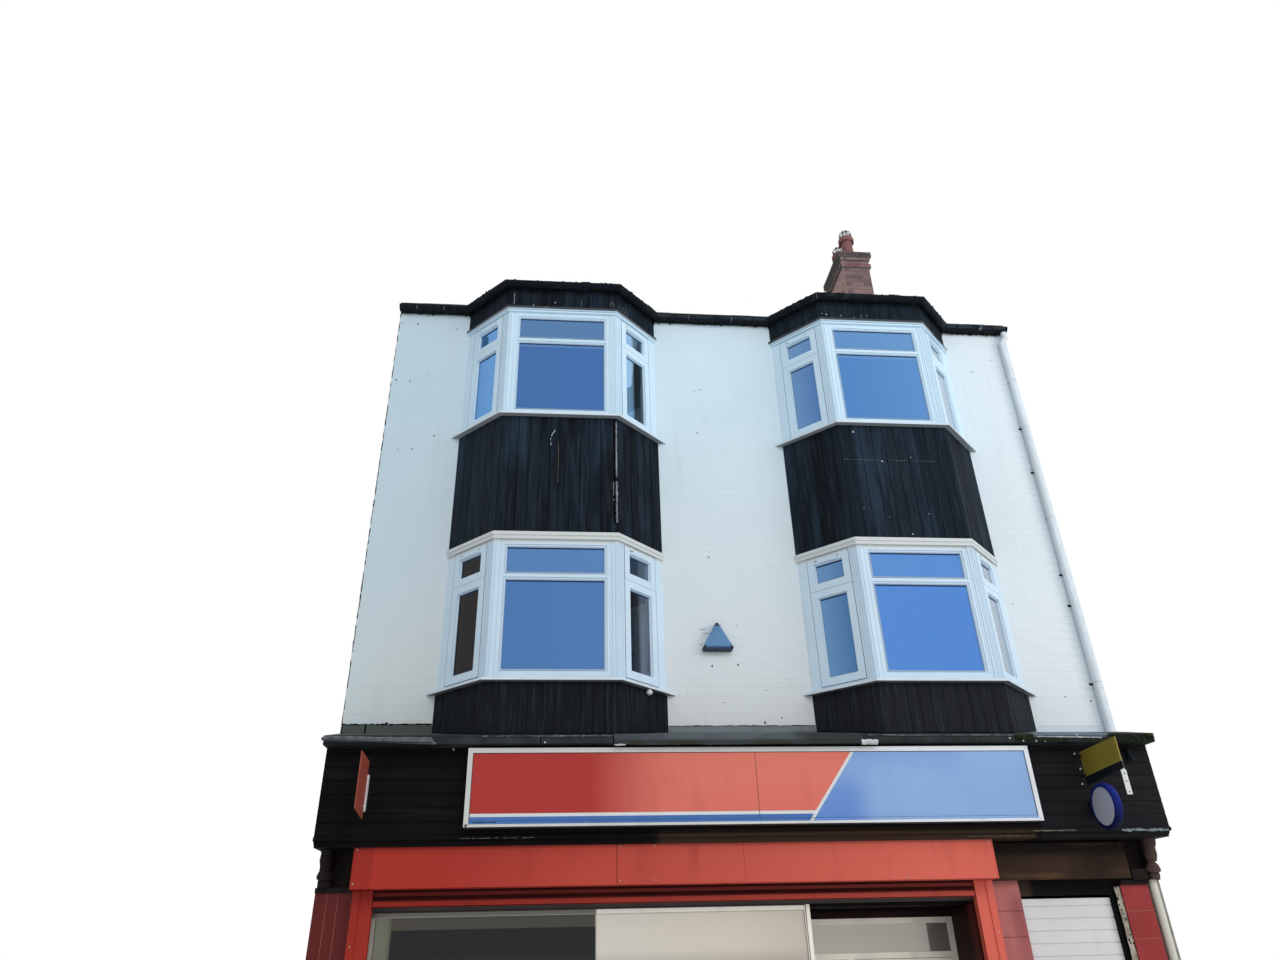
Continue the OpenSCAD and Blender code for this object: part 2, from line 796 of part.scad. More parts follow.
module bay_posts() {
    color("whitesmoke") at_windows() both_sides() linear_extrude(frame_h) {
        corner_post_plan();
        polygon([on_cant(side_x1, -post_out), on_cant(cant_end(post_out), -post_out),
            on_cant(cant_end(frame_in), -frame_in), on_cant(side_x1, -frame_in)]);
    }
}

// A sash with its lip lapping the frame's face, in a canted face
module sash(opening) {
    x0 = side_x0 + side_frame_face;
    x1 = side_x1 - side_frame_face;
    z0 = opening[0];
    z1 = opening[0] + opening[1];
    difference() {
        union() {
            block(x0 + sash_gap, x1 - sash_gap, frame_back, frame_back + frame_d - sash_lip_t,
                z0 + sash_gap, z1 - sash_gap);
            block(x0 - sash_lap, x1 + sash_lap, frame_back - sash_lip_t, frame_back,
                z0 - sash_lap, z1 + sash_lap);
        }
        block(x0 + sash_bar, x1 - sash_bar, 0, frame_d * 2, z0 + sash_bar, z1 - sash_bar);
    }
}

module bay_sashes() {
    mid = (side_x0 + side_x1) / 2;
    vent = side_openings[1];
    vent_z = vent[0] + vent[1] - sash_bar / 2;
    face = frame_back - sash_lip_t;
    color("white") at_windows() both_sides() cant_face() {
        for (opening = side_openings) sash(opening);
        block(mid - trickle_l / 2, mid + trickle_l / 2, face - trickle_out, face + 1,
            vent_z - trickle_h / 2, vent_z + trickle_h / 2);
    }
}

pane_y = frame_back + frame_d / 2 - pane_t / 2;
module bay_glass() {
    color("lightblue", 0.5) at_windows() {
        front_face() for (pane = front_panes)
            block(-pane_x + pane_gap, pane_x - pane_gap, pane_y, pane_y + pane_t,
                pane[0] + pane_gap, pane[0] + pane[1] - pane_gap);
        both_sides() cant_face() for (opening = side_openings)
            block(side_x0 + side_frame_face + sash_bar + pane_gap,
                side_x1 - side_frame_face - sash_bar - pane_gap, pane_y, pane_y + pane_t,
                opening[0] + sash_bar + pane_gap, opening[0] + opening[1] - sash_bar - pane_gap);
    }
}

top_strip_h = 38;
// Grooved boards on the front under a plain strip, and plain returns at both ends
module fascia_boards() {
    strip_z = fascia_top_z - top_strip_h;
    pitch = (strip_z - fascia_z) / fascia_boards_n;
    face = -fascia_out;
    color("black") {
        along_x(-half_w, half_w) polygon(concat(
            [[face + fascia_t, fascia_top_z], [face + fascia_t, fascia_z]],
            [for (i = [0 : fascia_boards_n - 1]) each [
                [face, fascia_z + i * pitch], [face, fascia_z + (i + 0.91) * pitch],
                [face + board_groove, fascia_z + (i + 0.95) * pitch],
                [face + board_groove, fascia_z + (i + 1) * pitch]]],
            [[face, strip_z], [face, fascia_top_z]]));
        both_sides() block(half_w - fascia_t, half_w, face + fascia_t, 0, fascia_z, fascia_top_z);
    }
}

// Everything under the capping's slope, for trimming what stands on it
module capping_cut() {
    along_x(-half_w - 1, half_w + 1) polygon([[1, capping_z - 1],
        [1, capping_wall_z + capping_rise / capping_out], [-capping_out, capping_z + capping_edge_h],
        [-capping_out, capping_z - 1]]);
}

roll_h = 26;
roll_out = 8;
// Section of the capping, with a rolled lead edge over a plain drip
capping_outline = [[0, capping_z], [0, capping_wall_z],
    [-capping_out + roll_h, capping_z + capping_edge_h + roll_h * capping_rise / capping_out],
    [-capping_out, capping_z + capping_edge_h],
    [-capping_out - roll_out, capping_z + capping_edge_h - roll_h / 2],
    [-capping_out, capping_z + capping_edge_h - roll_h], [-capping_out, capping_z + 6],
    [-capping_out + 6, capping_z]];

// Lead-covered capping with an upstand against the wall beside and between the bays
module fascia_capping() {
    upstand_z = capping_wall_z - flashing_t * capping_rise / capping_out;
    color("gray") {
        along_x(-half_w, half_w) polygon(capping_outline);
        block(-bay_x + wall_x(0) + 1, bay_x - wall_x(0) - 1, -flashing_t, 0,
            upstand_z, capping_wall_z + flashing_h);
        both_sides() block(bay_x + wall_x(0) + 1, half_w - pipe_inset - pipe_r - 12, -flashing_t, 0,
            upstand_z, capping_wall_z + flashing_h);
    }
}

module fascia_soffit() {
    face = -fascia_out - soffit_lip;
    nose_h = soffit_h * 0.45;
    color("black") along_x(-half_w, half_w) polygon([[0, soffit_z], [0, fascia_z],
        [face + nose_h / 4, fascia_z], [face, fascia_z - nose_h / 4], [face, fascia_z - nose_h * 0.7],
        [face + nose_h / 4, fascia_z - nose_h], [face + nose_h, fascia_z - nose_h],
        [face + nose_h, fascia_z - nose_h * 1.3], [face + nose_h * 1.6, fascia_z - nose_h * 1.7],
        [face + nose_h * 1.8, soffit_z]]);
}

sign_y = -(fascia_out + sign_d);
module sign_box() {
    color("gainsboro") difference() {
        block(-sign_w / 2, sign_w / 2, sign_y, -fascia_out, sign_z, sign_z + sign_h);
        block(-sign_w / 2 + sign_frame_w, sign_w / 2 - sign_frame_w, sign_y - 1,
            -fascia_out - 4, sign_z + sign_frame_w, sign_z + sign_h - sign_frame_w);
    }
}

// Two face panels that meet at the box's middle
module sign_panels() {
    face_y = sign_y + sign_panel_back;
    color("firebrick") both_sides()
        block(mitre_gap, sign_w / 2 - sign_frame_w - pane_gap, face_y, face_y + sign_panel_t,
            sign_z + sign_frame_w + pane_gap, sign_z + sign_h - sign_frame_w - pane_gap);
}

guide_y = -(pilaster_out + guide_d);
curtain_t = 20;
curtain_y = guide_y + guide_d / 2;
bottom_rail_h = 46;
box_end_gap = 6;
box_x0 = left_opening_x + box_end_gap;
box_x1 = middle_x0 - box_end_gap;

// Box with folded ends, the curtain's last slats and the bottom rail under it
module shutter_box() {
    rail_z = shutter_box_z - 135;
    color("firebrick") {
        difference() {
            block(box_x0, box_x1, -shutter_box_out, 0, shutter_box_z, shutter_box_z + shutter_box_h);
            block(box_joint_x - 2, box_joint_x + 2, -shutter_box_out - 1, -shutter_box_out + 4,
                shutter_box_z - 1, shutter_box_z + shutter_box_h + 1);
            block(box_x0 - 1, box_x1 + 1, -shutter_box_out + 14, -shutter_box_out + 130,
                shutter_box_z - 1, shutter_box_z + 8);
        }
        for (x = [box_x0 - box_plate_t, box_x1 - 1]) block(x, x + box_plate_t + 1,
            -shutter_box_out - box_plate_t, 0, shutter_box_z - box_plate_t,
            shutter_box_z + shutter_box_h);
        block(window_x0 + 5, entrance_x1 - 5, curtain_y - curtain_t / 2, curtain_y + curtain_t / 2,
            rail_z + bottom_rail_h, shutter_box_z);
        block(window_x0 + 5, entrance_x1 - 5, curtain_y - curtain_t, curtain_y + curtain_t,
            rail_z, rail_z + bottom_rail_h);
    }
}

guide_slot = 30;
// Channels that the shutter's curtain runs in, open towards each other
module shutter_guides() {
    z1 = shutter_box_z - box_plate_t - 0.3;
    color("firebrick") for (g = [[left_opening_x, 0], [middle_x0, 1]])
        translate([g[0], 0, 0]) mirror([g[1], 0, 0]) difference() {
            union() {
                block(0.3, guide_w, guide_y + guide_fold_h, guide_y + guide_d, 0, z1);
                block(0.3, guide_fold_w, guide_y, guide_y + guide_d, 0, z1);
            }
            block(guide_w - guide_slot * 2, guide_w + 1, curtain_y - guide_slot / 2,
                curtain_y + guide_slot / 2, -1, z1 + 1);
        }
}

// Frame of the display window, with a return along the entrance's left side
module shop_window_frame() {
    w = shop_frame_w;
    d = shop_frame_d;
    color("silver") {
        difference() {
            block(left_opening_x + 1, entrance_x0, 0, d, riser_z, window_head_z);
            block(window_x0 + 20, entrance_x0 - w, -1, d + 1, riser_z + w, window_head_z - w);
        }
        difference() {
            block(entrance_x0 - w, entrance_x0, d, entrance_d, riser_z, window_head_z);
            block(entrance_x0 - w - 1, entrance_x0 + 1, d + 1, entrance_d - w,
                riser_z + w, window_head_z - w);
        }
    }
}

module stall_riser() {
    color("firebrick") {
        block(left_opening_x + 1, entrance_x0, 0, riser_t, ground_floor_z, riser_z);
        block(entrance_x0 - shop_frame_w, entrance_x0, riser_t, entrance_d, ground_floor_z, riser_z);
    }
}

// Reveal on the entrance's right side and the soffit over it
module entrance_lining() {
    color("maroon") {
        block(entrance_x1, middle_x0, 0, entrance_d + shop_frame_d,
            ground_floor_z, window_head_z - panel_t);
        block(entrance_x0, middle_x0, panel_t, entrance_d + shop_frame_d,
            window_head_z - panel_t, window_head_z);
        block(entrance_x0, entrance_x1, entrance_d, entrance_d + shop_frame_d,
            entrance_head_z, window_head_z - panel_t);
    }
}

door_x0 = entrance_x1 - shop_frame_w - door_gap - door_w;
// Door frame with its top light's bar and a fixed side light on the left
module entrance_frame() {
    w = shop_frame_w;
    color("silver") difference() {
        block(entrance_x0, entrance_x1, entrance_d, entrance_d + shop_frame_d,
            ground_floor_z, entrance_head_z);
        block(entrance_x0 + w, entrance_x1 - w, entrance_d - 1, entrance_d + shop_frame_d + 1,
            door_head_z + w, entrance_head_z - w);
        block(door_x0 - door_gap, entrance_x1 - w, entrance_d - 1, entrance_d + shop_frame_d + 1,
            ground_floor_z - 1, door_head_z);
        block(entrance_x0 + w, door_x0 - door_gap - w, entrance_d - 1,
            entrance_d + shop_frame_d + 1, ground_floor_z + w, door_head_z);
    }
}

door_bar = 90;
module shop_door() {
    color("silver") difference() {
        block(door_x0, door_x0 + door_w, entrance_d, entrance_d + shop_frame_d,
            ground_floor_z + pane_gap, door_head_z - door_gap);
        block(door_x0 + door_bar, door_x0 + door_w - door_bar, entrance_d - 1,
            entrance_d + shop_frame_d + 1, ground_floor_z + 2 * door_bar,
            door_head_z - door_gap - door_bar);
    }
}

// Every pane of the shopfront
module shop_glass() {
    w = shop_frame_w;
    g = pane_gap;
    mid = (shop_frame_d - shop_glass_t) / 2;
    y1 = entrance_d + mid;
    color("lightblue", 0.5) {
        block(window_x0 + 20 + g, entrance_x0 - w - g, mid, mid + shop_glass_t,
            riser_z + w + g, window_head_z - w - g);
        block(entrance_x0 - w / 2 - shop_glass_t / 2, entrance_x0 - w / 2 + shop_glass_t / 2,
            shop_frame_d + 1 + g, entrance_d - w - g, riser_z + w + g, window_head_z - w - g);
        block(entrance_x0 + w + g, entrance_x1 - w - g, y1, y1 + shop_glass_t,
            door_head_z + w + g, entrance_head_z - w - g);
        block(entrance_x0 + w + g, door_x0 - door_gap - w - g, y1, y1 + shop_glass_t,
            ground_floor_z + w + g, door_head_z - g);
        block(door_x0 + door_bar + g, door_x0 + door_w - door_bar - g, y1, y1 + shop_glass_t,
            ground_floor_z + 2 * door_bar + g, door_head_z - door_gap - door_bar - g);
    }
}

// Glazed-tile piers: a facing over each party wall's end with a pier behind, and one between
module pilasters() {
    color("brown") {
        block(-half_w, left_opening_x, -pilaster_out, 0, 0, pilaster_top_z + left_pilaster_rise);
        block(-inner_x, left_opening_x, 0, front_t, ground_floor_z, window_head_z);
        block(middle_x0, middle_x1, -pilaster_out, 0, 0, side_open_z + side_head_h);
        block(right_x0, right_x1, -pilaster_out, 0, 0, pilaster_top_z);
    }
}

console_lean = 16;
// Outline of a bracket's half: a stepped foot, a cushion, a waist and a swelling head
module console_half(head_r, foot_r, h) {
    polygon([[0, -h], [foot_r * 0.6, -h], [foot_r * 0.84, h * 0.12], [foot_r * 0.84, h * 0.36],
        [foot_r * 0.7, h * 0.42], [foot_r, h * 0.52], [foot_r, h * 0.66], [foot_r * 0.78, h * 0.88],
        [foot_r * 0.5, h], [head_r * 0.6, h * 1.16], [head_r * 0.92, h * 1.24], [head_r, h * 1.5],
        [head_r * 0.84, h * 1.85], [head_r, h * 2.1], [head_r, h * 3], [0, h * 3]]);
}

// Turned bracket that leans out from its foot at z0 to the soffit, with a block behind it
module console(x, z0) {
    head_r = console_w / 2;
    foot_r = console_block_w / 2;
    intersection() {
        block(x - foot_r - 1, x + foot_r + 1, -console_out, 0, z0, soffit_z - 0.3);
        translate([x, -foot_r, z0]) rotate([console_lean, 0, 0])
            rotate_extrude() console_half(head_r, foot_r, console_block_h);
    }
    block(x - head_r * 0.8, x + head_r * 0.8, -console_out * 0.6, 0,
        z0 + console_block_h, soffit_z - 0.3);
}

stop_w = 150;
stop_h = 90;
// Dark backing over each outer pilaster with its ledge, a stop block and the turned brackets
module consoles() {
    ledge_y = -pilaster_out - ledge_out;
    left_z = pilaster_top_z + left_pilaster_rise;
    block_z = pilaster_top_z + ledge_h;
    color("dimgray") {
        block(-half_w, left_opening_x, ledge_y, 0, left_z + 0.3, left_z + ledge_h);
        block(-half_w, left_opening_x, -panel_t, 0, left_z + ledge_h - 1, soffit_z - 0.3);
        block(right_x0, right_x1, ledge_y, 0, pilaster_top_z + 0.3, block_z);
        block(right_x1 - stop_w, right_x1, ledge_y * 1.3, 0, block_z - 1, block_z + stop_h);
        block(right_x0 + lintel_board_over + 0.3, half_w, -panel_t, 0, block_z - 1, soffit_z - 0.3);
        console(left_console_x - half_w, left_z + ledge_h - 1);
        console(half_w - right_console_x, block_z);
    }
}

side_x0_open = middle_x1;
side_x1_open = right_x0 - side_frame_w;
slat_joint = 8;
// Roller curtain of narrow slats, down to the floor
module side_shutter() {
    z0 = ground_floor_z;
    slats = floor((side_open_z - z0 - slat_joint) / slat_pitch);
    color("white") along_x(side_x0_open + 1, side_x1_open - 0.3) polygon(concat(
        [[slat_t, side_open_z], [slat_t, z0]],
        [for (i = [0 : slats - 1]) each [[slat_t * 0.6, z0 + i * slat_pitch],
            [0, z0 + i * slat_pitch + slat_joint], [0, z0 + (i + 1) * slat_pitch - slat_joint]]],
        [[slat_t * 0.6, z0 + slats * slat_pitch], [0, z0 + slats * slat_pitch + slat_joint],
            [0, side_open_z]]));
}

module side_surround() {
    color("black") {
        block(side_x1_open, right_x0 - 0.3, -pilaster_out / 2, 0, 0, side_open_z);
        block(side_x1_open, right_x0 - 0.3, -1, panel_t, ground_floor_z, side_open_z);
        block(right_x0 - side_strip_w, right_x0 - 0.3, -pilaster_out / 2 - side_strip_out, 0,
            0, pilaster_top_z);
        block(side_x0_open + 0.3, right_x0 - 0.3, -pilaster_out / 2, 0,
            side_open_z, side_open_z + side_head_h);
    }
}

module side_lintel_board() {
    color("saddlebrown") block(middle_x0, right_x0 + lintel_board_over, -lintel_board_out, 0,
        side_open_z + side_head_h + 0.3, side_open_z + side_head_h + lintel_board_h);
}

sign_gap = 30;
arm_t = 16;
bracket_h = 90;
plate_t = 12;
plate_w = 46;
plate_h = 400;
plate_dx = 390;
plate_foot = 290;
// Arm from the fascia to a sign that hangs square to it
module sign_arm(x, z) {
    translate([x - arm_t / 2, -fascia_out - sign_gap - 20, z]) cube([arm_t, sign_gap + 20, arm_t]);
}

// Bare panels square to the fascia, each on its arms, and a wall plate
module projecting_signs() {
    left_x = -half_w + left_sign_x;
    left_z = fascia_z + 135;
    right_x = half_w - right_sign_x;
    right_z = fascia_top_z - right_sign_h - 65;
    y = -fascia_out - sign_gap;
    color("firebrick") translate([left_x - flat_sign_t / 2, y - left_sign_w, left_z])
        cube([flat_sign_t, left_sign_w, left_sign_h]);
    color("gold") translate([right_x - flat_sign_t / 2, y - right_sign_w, right_z])
        cube([flat_sign_t, right_sign_w, right_sign_h]);
    color("navy") translate([right_x, 0, round_sign_z]) {
        translate([-round_sign_t / 2, y - round_sign_d / 2, 0]) rotate([0, 90, 0])
            cylinder(h = round_sign_t, r = round_sign_d / 2);
        translate([-round_sign_t / 2 + 5, y - 20, -bracket_h / 2])
            cube([round_sign_t - 10, sign_gap + 20, bracket_h]);
    }
    color("white") {
        for (z = [0.2, 0.8]) {
            sign_arm(left_x, left_z + z * left_sign_h);
            sign_arm(right_x, right_z + z * right_sign_h);
        }
        translate([right_x + plate_dx, -fascia_out - plate_t, fascia_z + plate_foot])
            cube([plate_w, plate_t, plate_h]);
    }
}

alarm_corner = 26;
// Three-cornered box with its point up and blunt corners
module alarm_box() {
    color("royalblue") translate([alarm_x, 0, first_floor_z + alarm_z]) rotate([90, 0, 0])
        linear_extrude(alarm_d) polygon([[-alarm_w / 2, alarm_corner], [-alarm_w / 2 + alarm_corner / 2, 0],
            [alarm_w / 2 - alarm_corner / 2, 0], [alarm_w / 2, alarm_corner],
            [alarm_corner / 2, alarm_h], [-alarm_corner / 2, alarm_h]]);
}

rear_bar = 60;
rear_frame_d = 70;
rear_y0 = 100;
// A fixed light beside a casement, in each rear window, with its sill
module rear_window() {
    w = rear_win_w / 2 - pane_gap;
    difference() {
        block(-w, w, rear_y0, rear_y0 + rear_frame_d, 0, rear_win_h - pane_gap);
        for (x = [-w + rear_bar, rear_bar / 2]) translate([x, rear_y0 - 1, rear_bar])
            cube([w - rear_bar * 1.5, rear_frame_d + 2, rear_win_h - 2 * rear_bar]);
    }
    block(-w, w, rear_y0 + rear_frame_d + pane_gap, rear_t + 40, 0, 40);
}

module rear_door() {
    w = rear_door_w / 2 - pane_gap;
    difference() {
        block(-w, w, rear_y0, rear_y0 + rear_frame_d, 0, rear_door_h - pane_gap);
        block(-w + rear_bar, w - rear_bar, rear_y0 - 1, rear_y0 + rear_frame_d + 1,
            -1, rear_door_h - rear_bar);
    }
    block(-w + rear_bar + pane_gap, w - rear_bar - pane_gap, rear_y0 + 10, rear_y0 + 54,
        pane_gap, rear_door_h - rear_bar - pane_gap);
}

module rear_joinery() {
    color("white") {
        at_rear_windows() rear_window();
        translate([rear_win_x, rear_y, ground_floor_z]) rear_door();
    }
}

module rear_glass() {
    w = rear_win_w / 2 - pane_gap;
    color("lightblue", 0.5) at_rear_windows() for (x = [-w + rear_bar, rear_bar / 2])
        translate([x + pane_gap, rear_y0 + 20, rear_bar + pane_gap])
            cube([w - rear_bar * 1.5 - 2 * pane_gap, pane_t, rear_win_h - 2 * rear_bar - 2 * pane_gap]);
}

ground_floor();
left_party_wall();
right_party_wall();
rear_wall();
front_wall();
shopfront_beam();
first_floor();
second_floor();
top_ceiling();
front_roof();
rear_roof();
ridge_tiles();
chimney_stack();
chimney_pots();
gutters();
downpipes();
bay_cladding();
bay_decks();
bay_sills();
bay_window_frames();
bay_posts();
bay_sashes();
bay_glass();
fascia_boards();
fascia_capping();
fascia_soffit();
sign_box();
sign_panels();
shutter_box();
shutter_guides();
shop_window_frame();
shop_glass();
stall_riser();
entrance_lining();
entrance_frame();
shop_door();
pilasters();
consoles();
side_shutter();
side_surround();
side_lintel_board();
projecting_signs();
alarm_box();
rear_joinery();
rear_glass();
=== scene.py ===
import json
import math
import random

import bpy
from mathutils import Matrix, Vector


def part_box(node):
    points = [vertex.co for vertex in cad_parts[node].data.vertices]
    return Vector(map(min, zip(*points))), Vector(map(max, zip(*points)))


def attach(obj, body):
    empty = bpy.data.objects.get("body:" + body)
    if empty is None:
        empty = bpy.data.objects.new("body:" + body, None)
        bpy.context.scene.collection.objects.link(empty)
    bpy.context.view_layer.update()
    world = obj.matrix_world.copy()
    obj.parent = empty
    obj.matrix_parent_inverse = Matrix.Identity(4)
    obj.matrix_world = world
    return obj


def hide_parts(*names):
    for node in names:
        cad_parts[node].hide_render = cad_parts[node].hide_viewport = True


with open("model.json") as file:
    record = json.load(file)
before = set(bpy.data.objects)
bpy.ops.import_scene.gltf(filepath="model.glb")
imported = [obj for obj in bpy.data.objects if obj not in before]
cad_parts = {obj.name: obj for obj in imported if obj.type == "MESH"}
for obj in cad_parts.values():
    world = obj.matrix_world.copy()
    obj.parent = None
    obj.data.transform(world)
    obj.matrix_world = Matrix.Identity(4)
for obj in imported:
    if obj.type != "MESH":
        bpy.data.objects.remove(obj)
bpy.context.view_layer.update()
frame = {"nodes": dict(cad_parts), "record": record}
nodes = frame["nodes"]

# Right along the front, back into the building, and up
right, inward, up = Vector((1, 0, 0)), Vector((0, 1, 0)), Vector((0, 0, 1))


# Materials: each starts from Principled and gets its own nodes. A colour is written as a screen shows it,
# 0 to 255, or as the shader's own linear values, which are all below 1


def linear(colour):
    if max(colour) <= 1:
        return colour
    return tuple(((c / 255 + 0.055) / 1.055) ** 2.4 if c > 10 else c / 255 / 12.92 for c in colour)


def addNode(tree, kind, inputs, **settings):
    # A new node, with a value or another node's output for each of the inputs named
    node = tree.nodes.new(kind)
    for name, value in settings.items():
        setattr(node, name, value)
    for socket, value in inputs.items():
        if isinstance(value, bpy.types.NodeSocket):
            tree.links.new(value, node.inputs[socket])
        else:
            node.inputs[socket].default_value = value
    return node


def startMaterial(name, rough, metal=0.0, gloss=0.5, cover=1.0):
    material = bpy.data.materials.new(name)
    material.use_nodes = True
    shader = material.node_tree.nodes["Principled BSDF"]
    values = {"Roughness": rough, "Metallic": metal, "Specular IOR Level": gloss, "Alpha": cover}
    for socket, value in values.items():
        shader.inputs[socket].default_value = value
    return material, material.node_tree


def finishMaterial(material, colour, height, strength, distance):
    # Gives the shader its colour and a bump from height
    tree = material.node_tree
    shader = tree.nodes["Principled BSDF"]
    bump = addNode(tree, "ShaderNodeBump", {"Strength": strength, "Distance": distance, "Height": height})
    tree.links.new(colour, shader.inputs["Base Color"])
    tree.links.new(bump.outputs["Normal"], shader.inputs["Normal"])
    return material


def remapped(tree, value, low, high):
    # 0 where the value is at low, 1 where it is at high
    return addNode(tree, "ShaderNodeMapRange", {"Value": value, "From Min": low, "From Max": high}).outputs["Result"]


def noiseFactor(tree, scale, low, high, detail=4.0, stretch=(1, 1, 1), offset=(0, 0, 0)):
    # Noise over the object's own space
    coords = addNode(tree, "ShaderNodeTexCoord", {})
    mapping = addNode(tree, "ShaderNodeMapping",
                      {"Scale": stretch, "Location": offset, "Vector": coords.outputs["Object"]})
    noise = addNode(tree, "ShaderNodeTexNoise",
                    {"Scale": scale, "Detail": detail, "Vector": mapping.outputs["Vector"]})
    return remapped(tree, noise.outputs["Fac"], low, high)


def toneFactor(tree, low=0.0, high=1.0):
    # The tone that each brick, slate or board carries on its own mesh
    return remapped(tree, addNode(tree, "ShaderNodeAttribute", {}, attribute_name="tone").outputs["Fac"], low, high)


def axisFactor(tree, axis, start, end):
    # Goes from 0 at start to 1 at end along one axis of the object's space
    coords = addNode(tree, "ShaderNodeTexCoord", {})
    split = addNode(tree, "ShaderNodeSeparateXYZ", {"Vector": coords.outputs["Object"]})
    return remapped(tree, split.outputs[axis], start, end)


def combine(tree, first, second, operation="MULTIPLY"):
    node = addNode(tree, "ShaderNodeMath", {0: first, 1: second}, operation=operation, use_clamp=True)
    return node.outputs["Value"]


def mixColour(tree, factor, first, second):
    first, second = ((*linear(c), 1.0) if isinstance(c, tuple) else c for c in (first, second))
    mix = addNode(tree, "ShaderNodeMix", {"Factor": factor, 6: first, 7: second}, data_type="RGBA")
    return mix.outputs[2]


def stain(tree, colour, marks, share, tint):
    # Lays a tint over a colour where the marks are, at most by share
    return mixColour(tree, combine(tree, marks, share), colour, tint)


def addPatches(tree, colour, patches):
    # Tints parts of a surface: where each lies along X, Y or Z, its soft edge, its tint and its share
    for where, soft, tint, share in patches:
        factor = share
        for limit in where.split():
            place, edge = float(limit[2:]), soft if limit[1] == ">" else -soft
            factor = combine(tree, axisFactor(tree, limit[0], place - edge, place + edge), factor)
        colour = mixColour(tree, factor, colour, tint)
    return colour


def makePaintedBrick(name, look):
    material, tree = startMaterial(name, look["rough"], gloss=0.2)
    colour = mixColour(tree, noiseFactor(tree, 1.1, 0.35, 0.7), look["paint"], look["shade"])
    colour = addPatches(tree, colour, look["patches"])
    colour = stain(tree, colour, toneFactor(tree, 0.2, 1.6), look["uneven"], look["shade"])
    streaks = noiseFactor(tree, 2.2, 0.58, 0.82, 6.0, (3.0, 3.0, 0.35), (4, 1, 9))
    colour = stain(tree, colour, streaks, look["streaks"], look["grime"])
    colour = stain(tree, colour, noiseFactor(tree, 26, 0.72, 0.77, 3.0, (1, 1, 1.6)), look["spots"], look["bare"])
    return finishMaterial(material, colour, noiseFactor(tree, 45, 0.2, 0.8, 5.0), 0.25, 0.0012)


def makeBrick(name, look):
    material, tree = startMaterial(name, look["rough"], gloss=0.2)
    colour = mixColour(tree, toneFactor(tree), look["dark"], look["light"])
    colour = stain(tree, colour, noiseFactor(tree, 0.9, 0.42, 0.66, 5.0), look["sootiness"], look["soot"])
    colour = addPatches(tree, colour, look.get("patches", ()))
    colour = stain(tree, colour, noiseFactor(tree, 34, 0.45, 0.75, 4.0, (1, 1, 1.5)), 0.35, look["dark"])
    return finishMaterial(material, colour, noiseFactor(tree, 90, 0.2, 0.8, 5.0), 0.5, 0.002)


def look(base, second, soil, rough, gloss=0.4, **more):
    # A plain surface: two near tones, the colour of its dirt, how rough and how glossy it is, and what is its own
    usual = dict(metal=0.0, scale=2.0, dirt=0.3, dirtScale=5.0, stretch=(1, 1, 0.3), bump=0.15, grainScale=60,
                 grainStretch=(1, 1, 1), patches=())
    return {**usual, "base": base, "second": second, "soil": soil, "rough": rough, "gloss": gloss, **more}


def signLook(base, second, rough=0.3, patches=()):
    soil = tuple(c * 0.7 for c in linear(base))
    return look(base, second, soil, rough, scale=0.8, dirt=0.2, bump=0.05, patches=patches)


def makePlain(name, look):
    # Painted, plastic, metal and stone surfaces, with streaks of dirt and a fine grain
    material, tree = startMaterial(name, look["rough"], look["metal"], look["gloss"])
    colour = mixColour(tree, noiseFactor(tree, look["scale"], 0.35, 0.68), look["base"], look["second"])
    colour = addPatches(tree, colour, look["patches"])
    streaks = noiseFactor(tree, look["dirtScale"], 0.55, 0.8, 6.0, look["stretch"])
    colour = stain(tree, colour, streaks, look["dirt"], look["soil"])
    grain = noiseFactor(tree, look["grainScale"], 0.3, 0.7, 3.0, look["grainStretch"])
    return finishMaterial(material, colour, grain, look["bump"], 0.001)


def makeToned(name, look):
    # Slates and boards: each one's own tone, long streaks along it and a raised grain
    material, tree = startMaterial(name, look["rough"], gloss=look["gloss"])
    colour = mixColour(tree, toneFactor(tree), look["dark"], look["light"])
    colour = addPatches(tree, colour, look.get("patches", ()))
    streaks = noiseFactor(tree, look["scale"], 0.5, 0.8, 6.0, look["stretch"])
    colour = stain(tree, colour, streaks, look["worn"], look["bare"])
    if "bleach" in look:
        bleach, share, scale, foot = look["bleach"]
        clouds = noiseFactor(tree, scale, 0.50, 0.75, 6.0, (2.6, 2.6, 0.4), (3, 7, 1))
        clouds = combine(tree, clouds, axisFactor(tree, "Z", foot - 0.3, foot + 0.3))
        colour = stain(tree, colour, clouds, share, bleach)
    grain = noiseFactor(tree, look["grain"], 0.3, 0.7, 4.0, look["stretch"])
    return finishMaterial(material, colour, grain, look["bump"], 0.0015)


def makeMortar(name, look):
    # Bare mortar on the party walls, under white paint where they show in the front and the rear
    material, tree = startMaterial(name, 0.85, gloss=0.2)
    colour = mixColour(tree, noiseFactor(tree, 14, 0.35, 0.7), look["bare"], look["dirty"])
    onFront = combine(tree, axisFactor(tree, "Y", 0.012, 0.002), axisFactor(tree, "Z", 3.7, 3.71))
    painted = combine(tree, onFront, axisFactor(tree, "Y", 7.988, 7.998), "MAXIMUM")
    colour = mixColour(tree, painted, colour, look["paint"])
    return finishMaterial(material, colour, noiseFactor(tree, 60, 0.2, 0.8, 5.0), 0.4, 0.002)


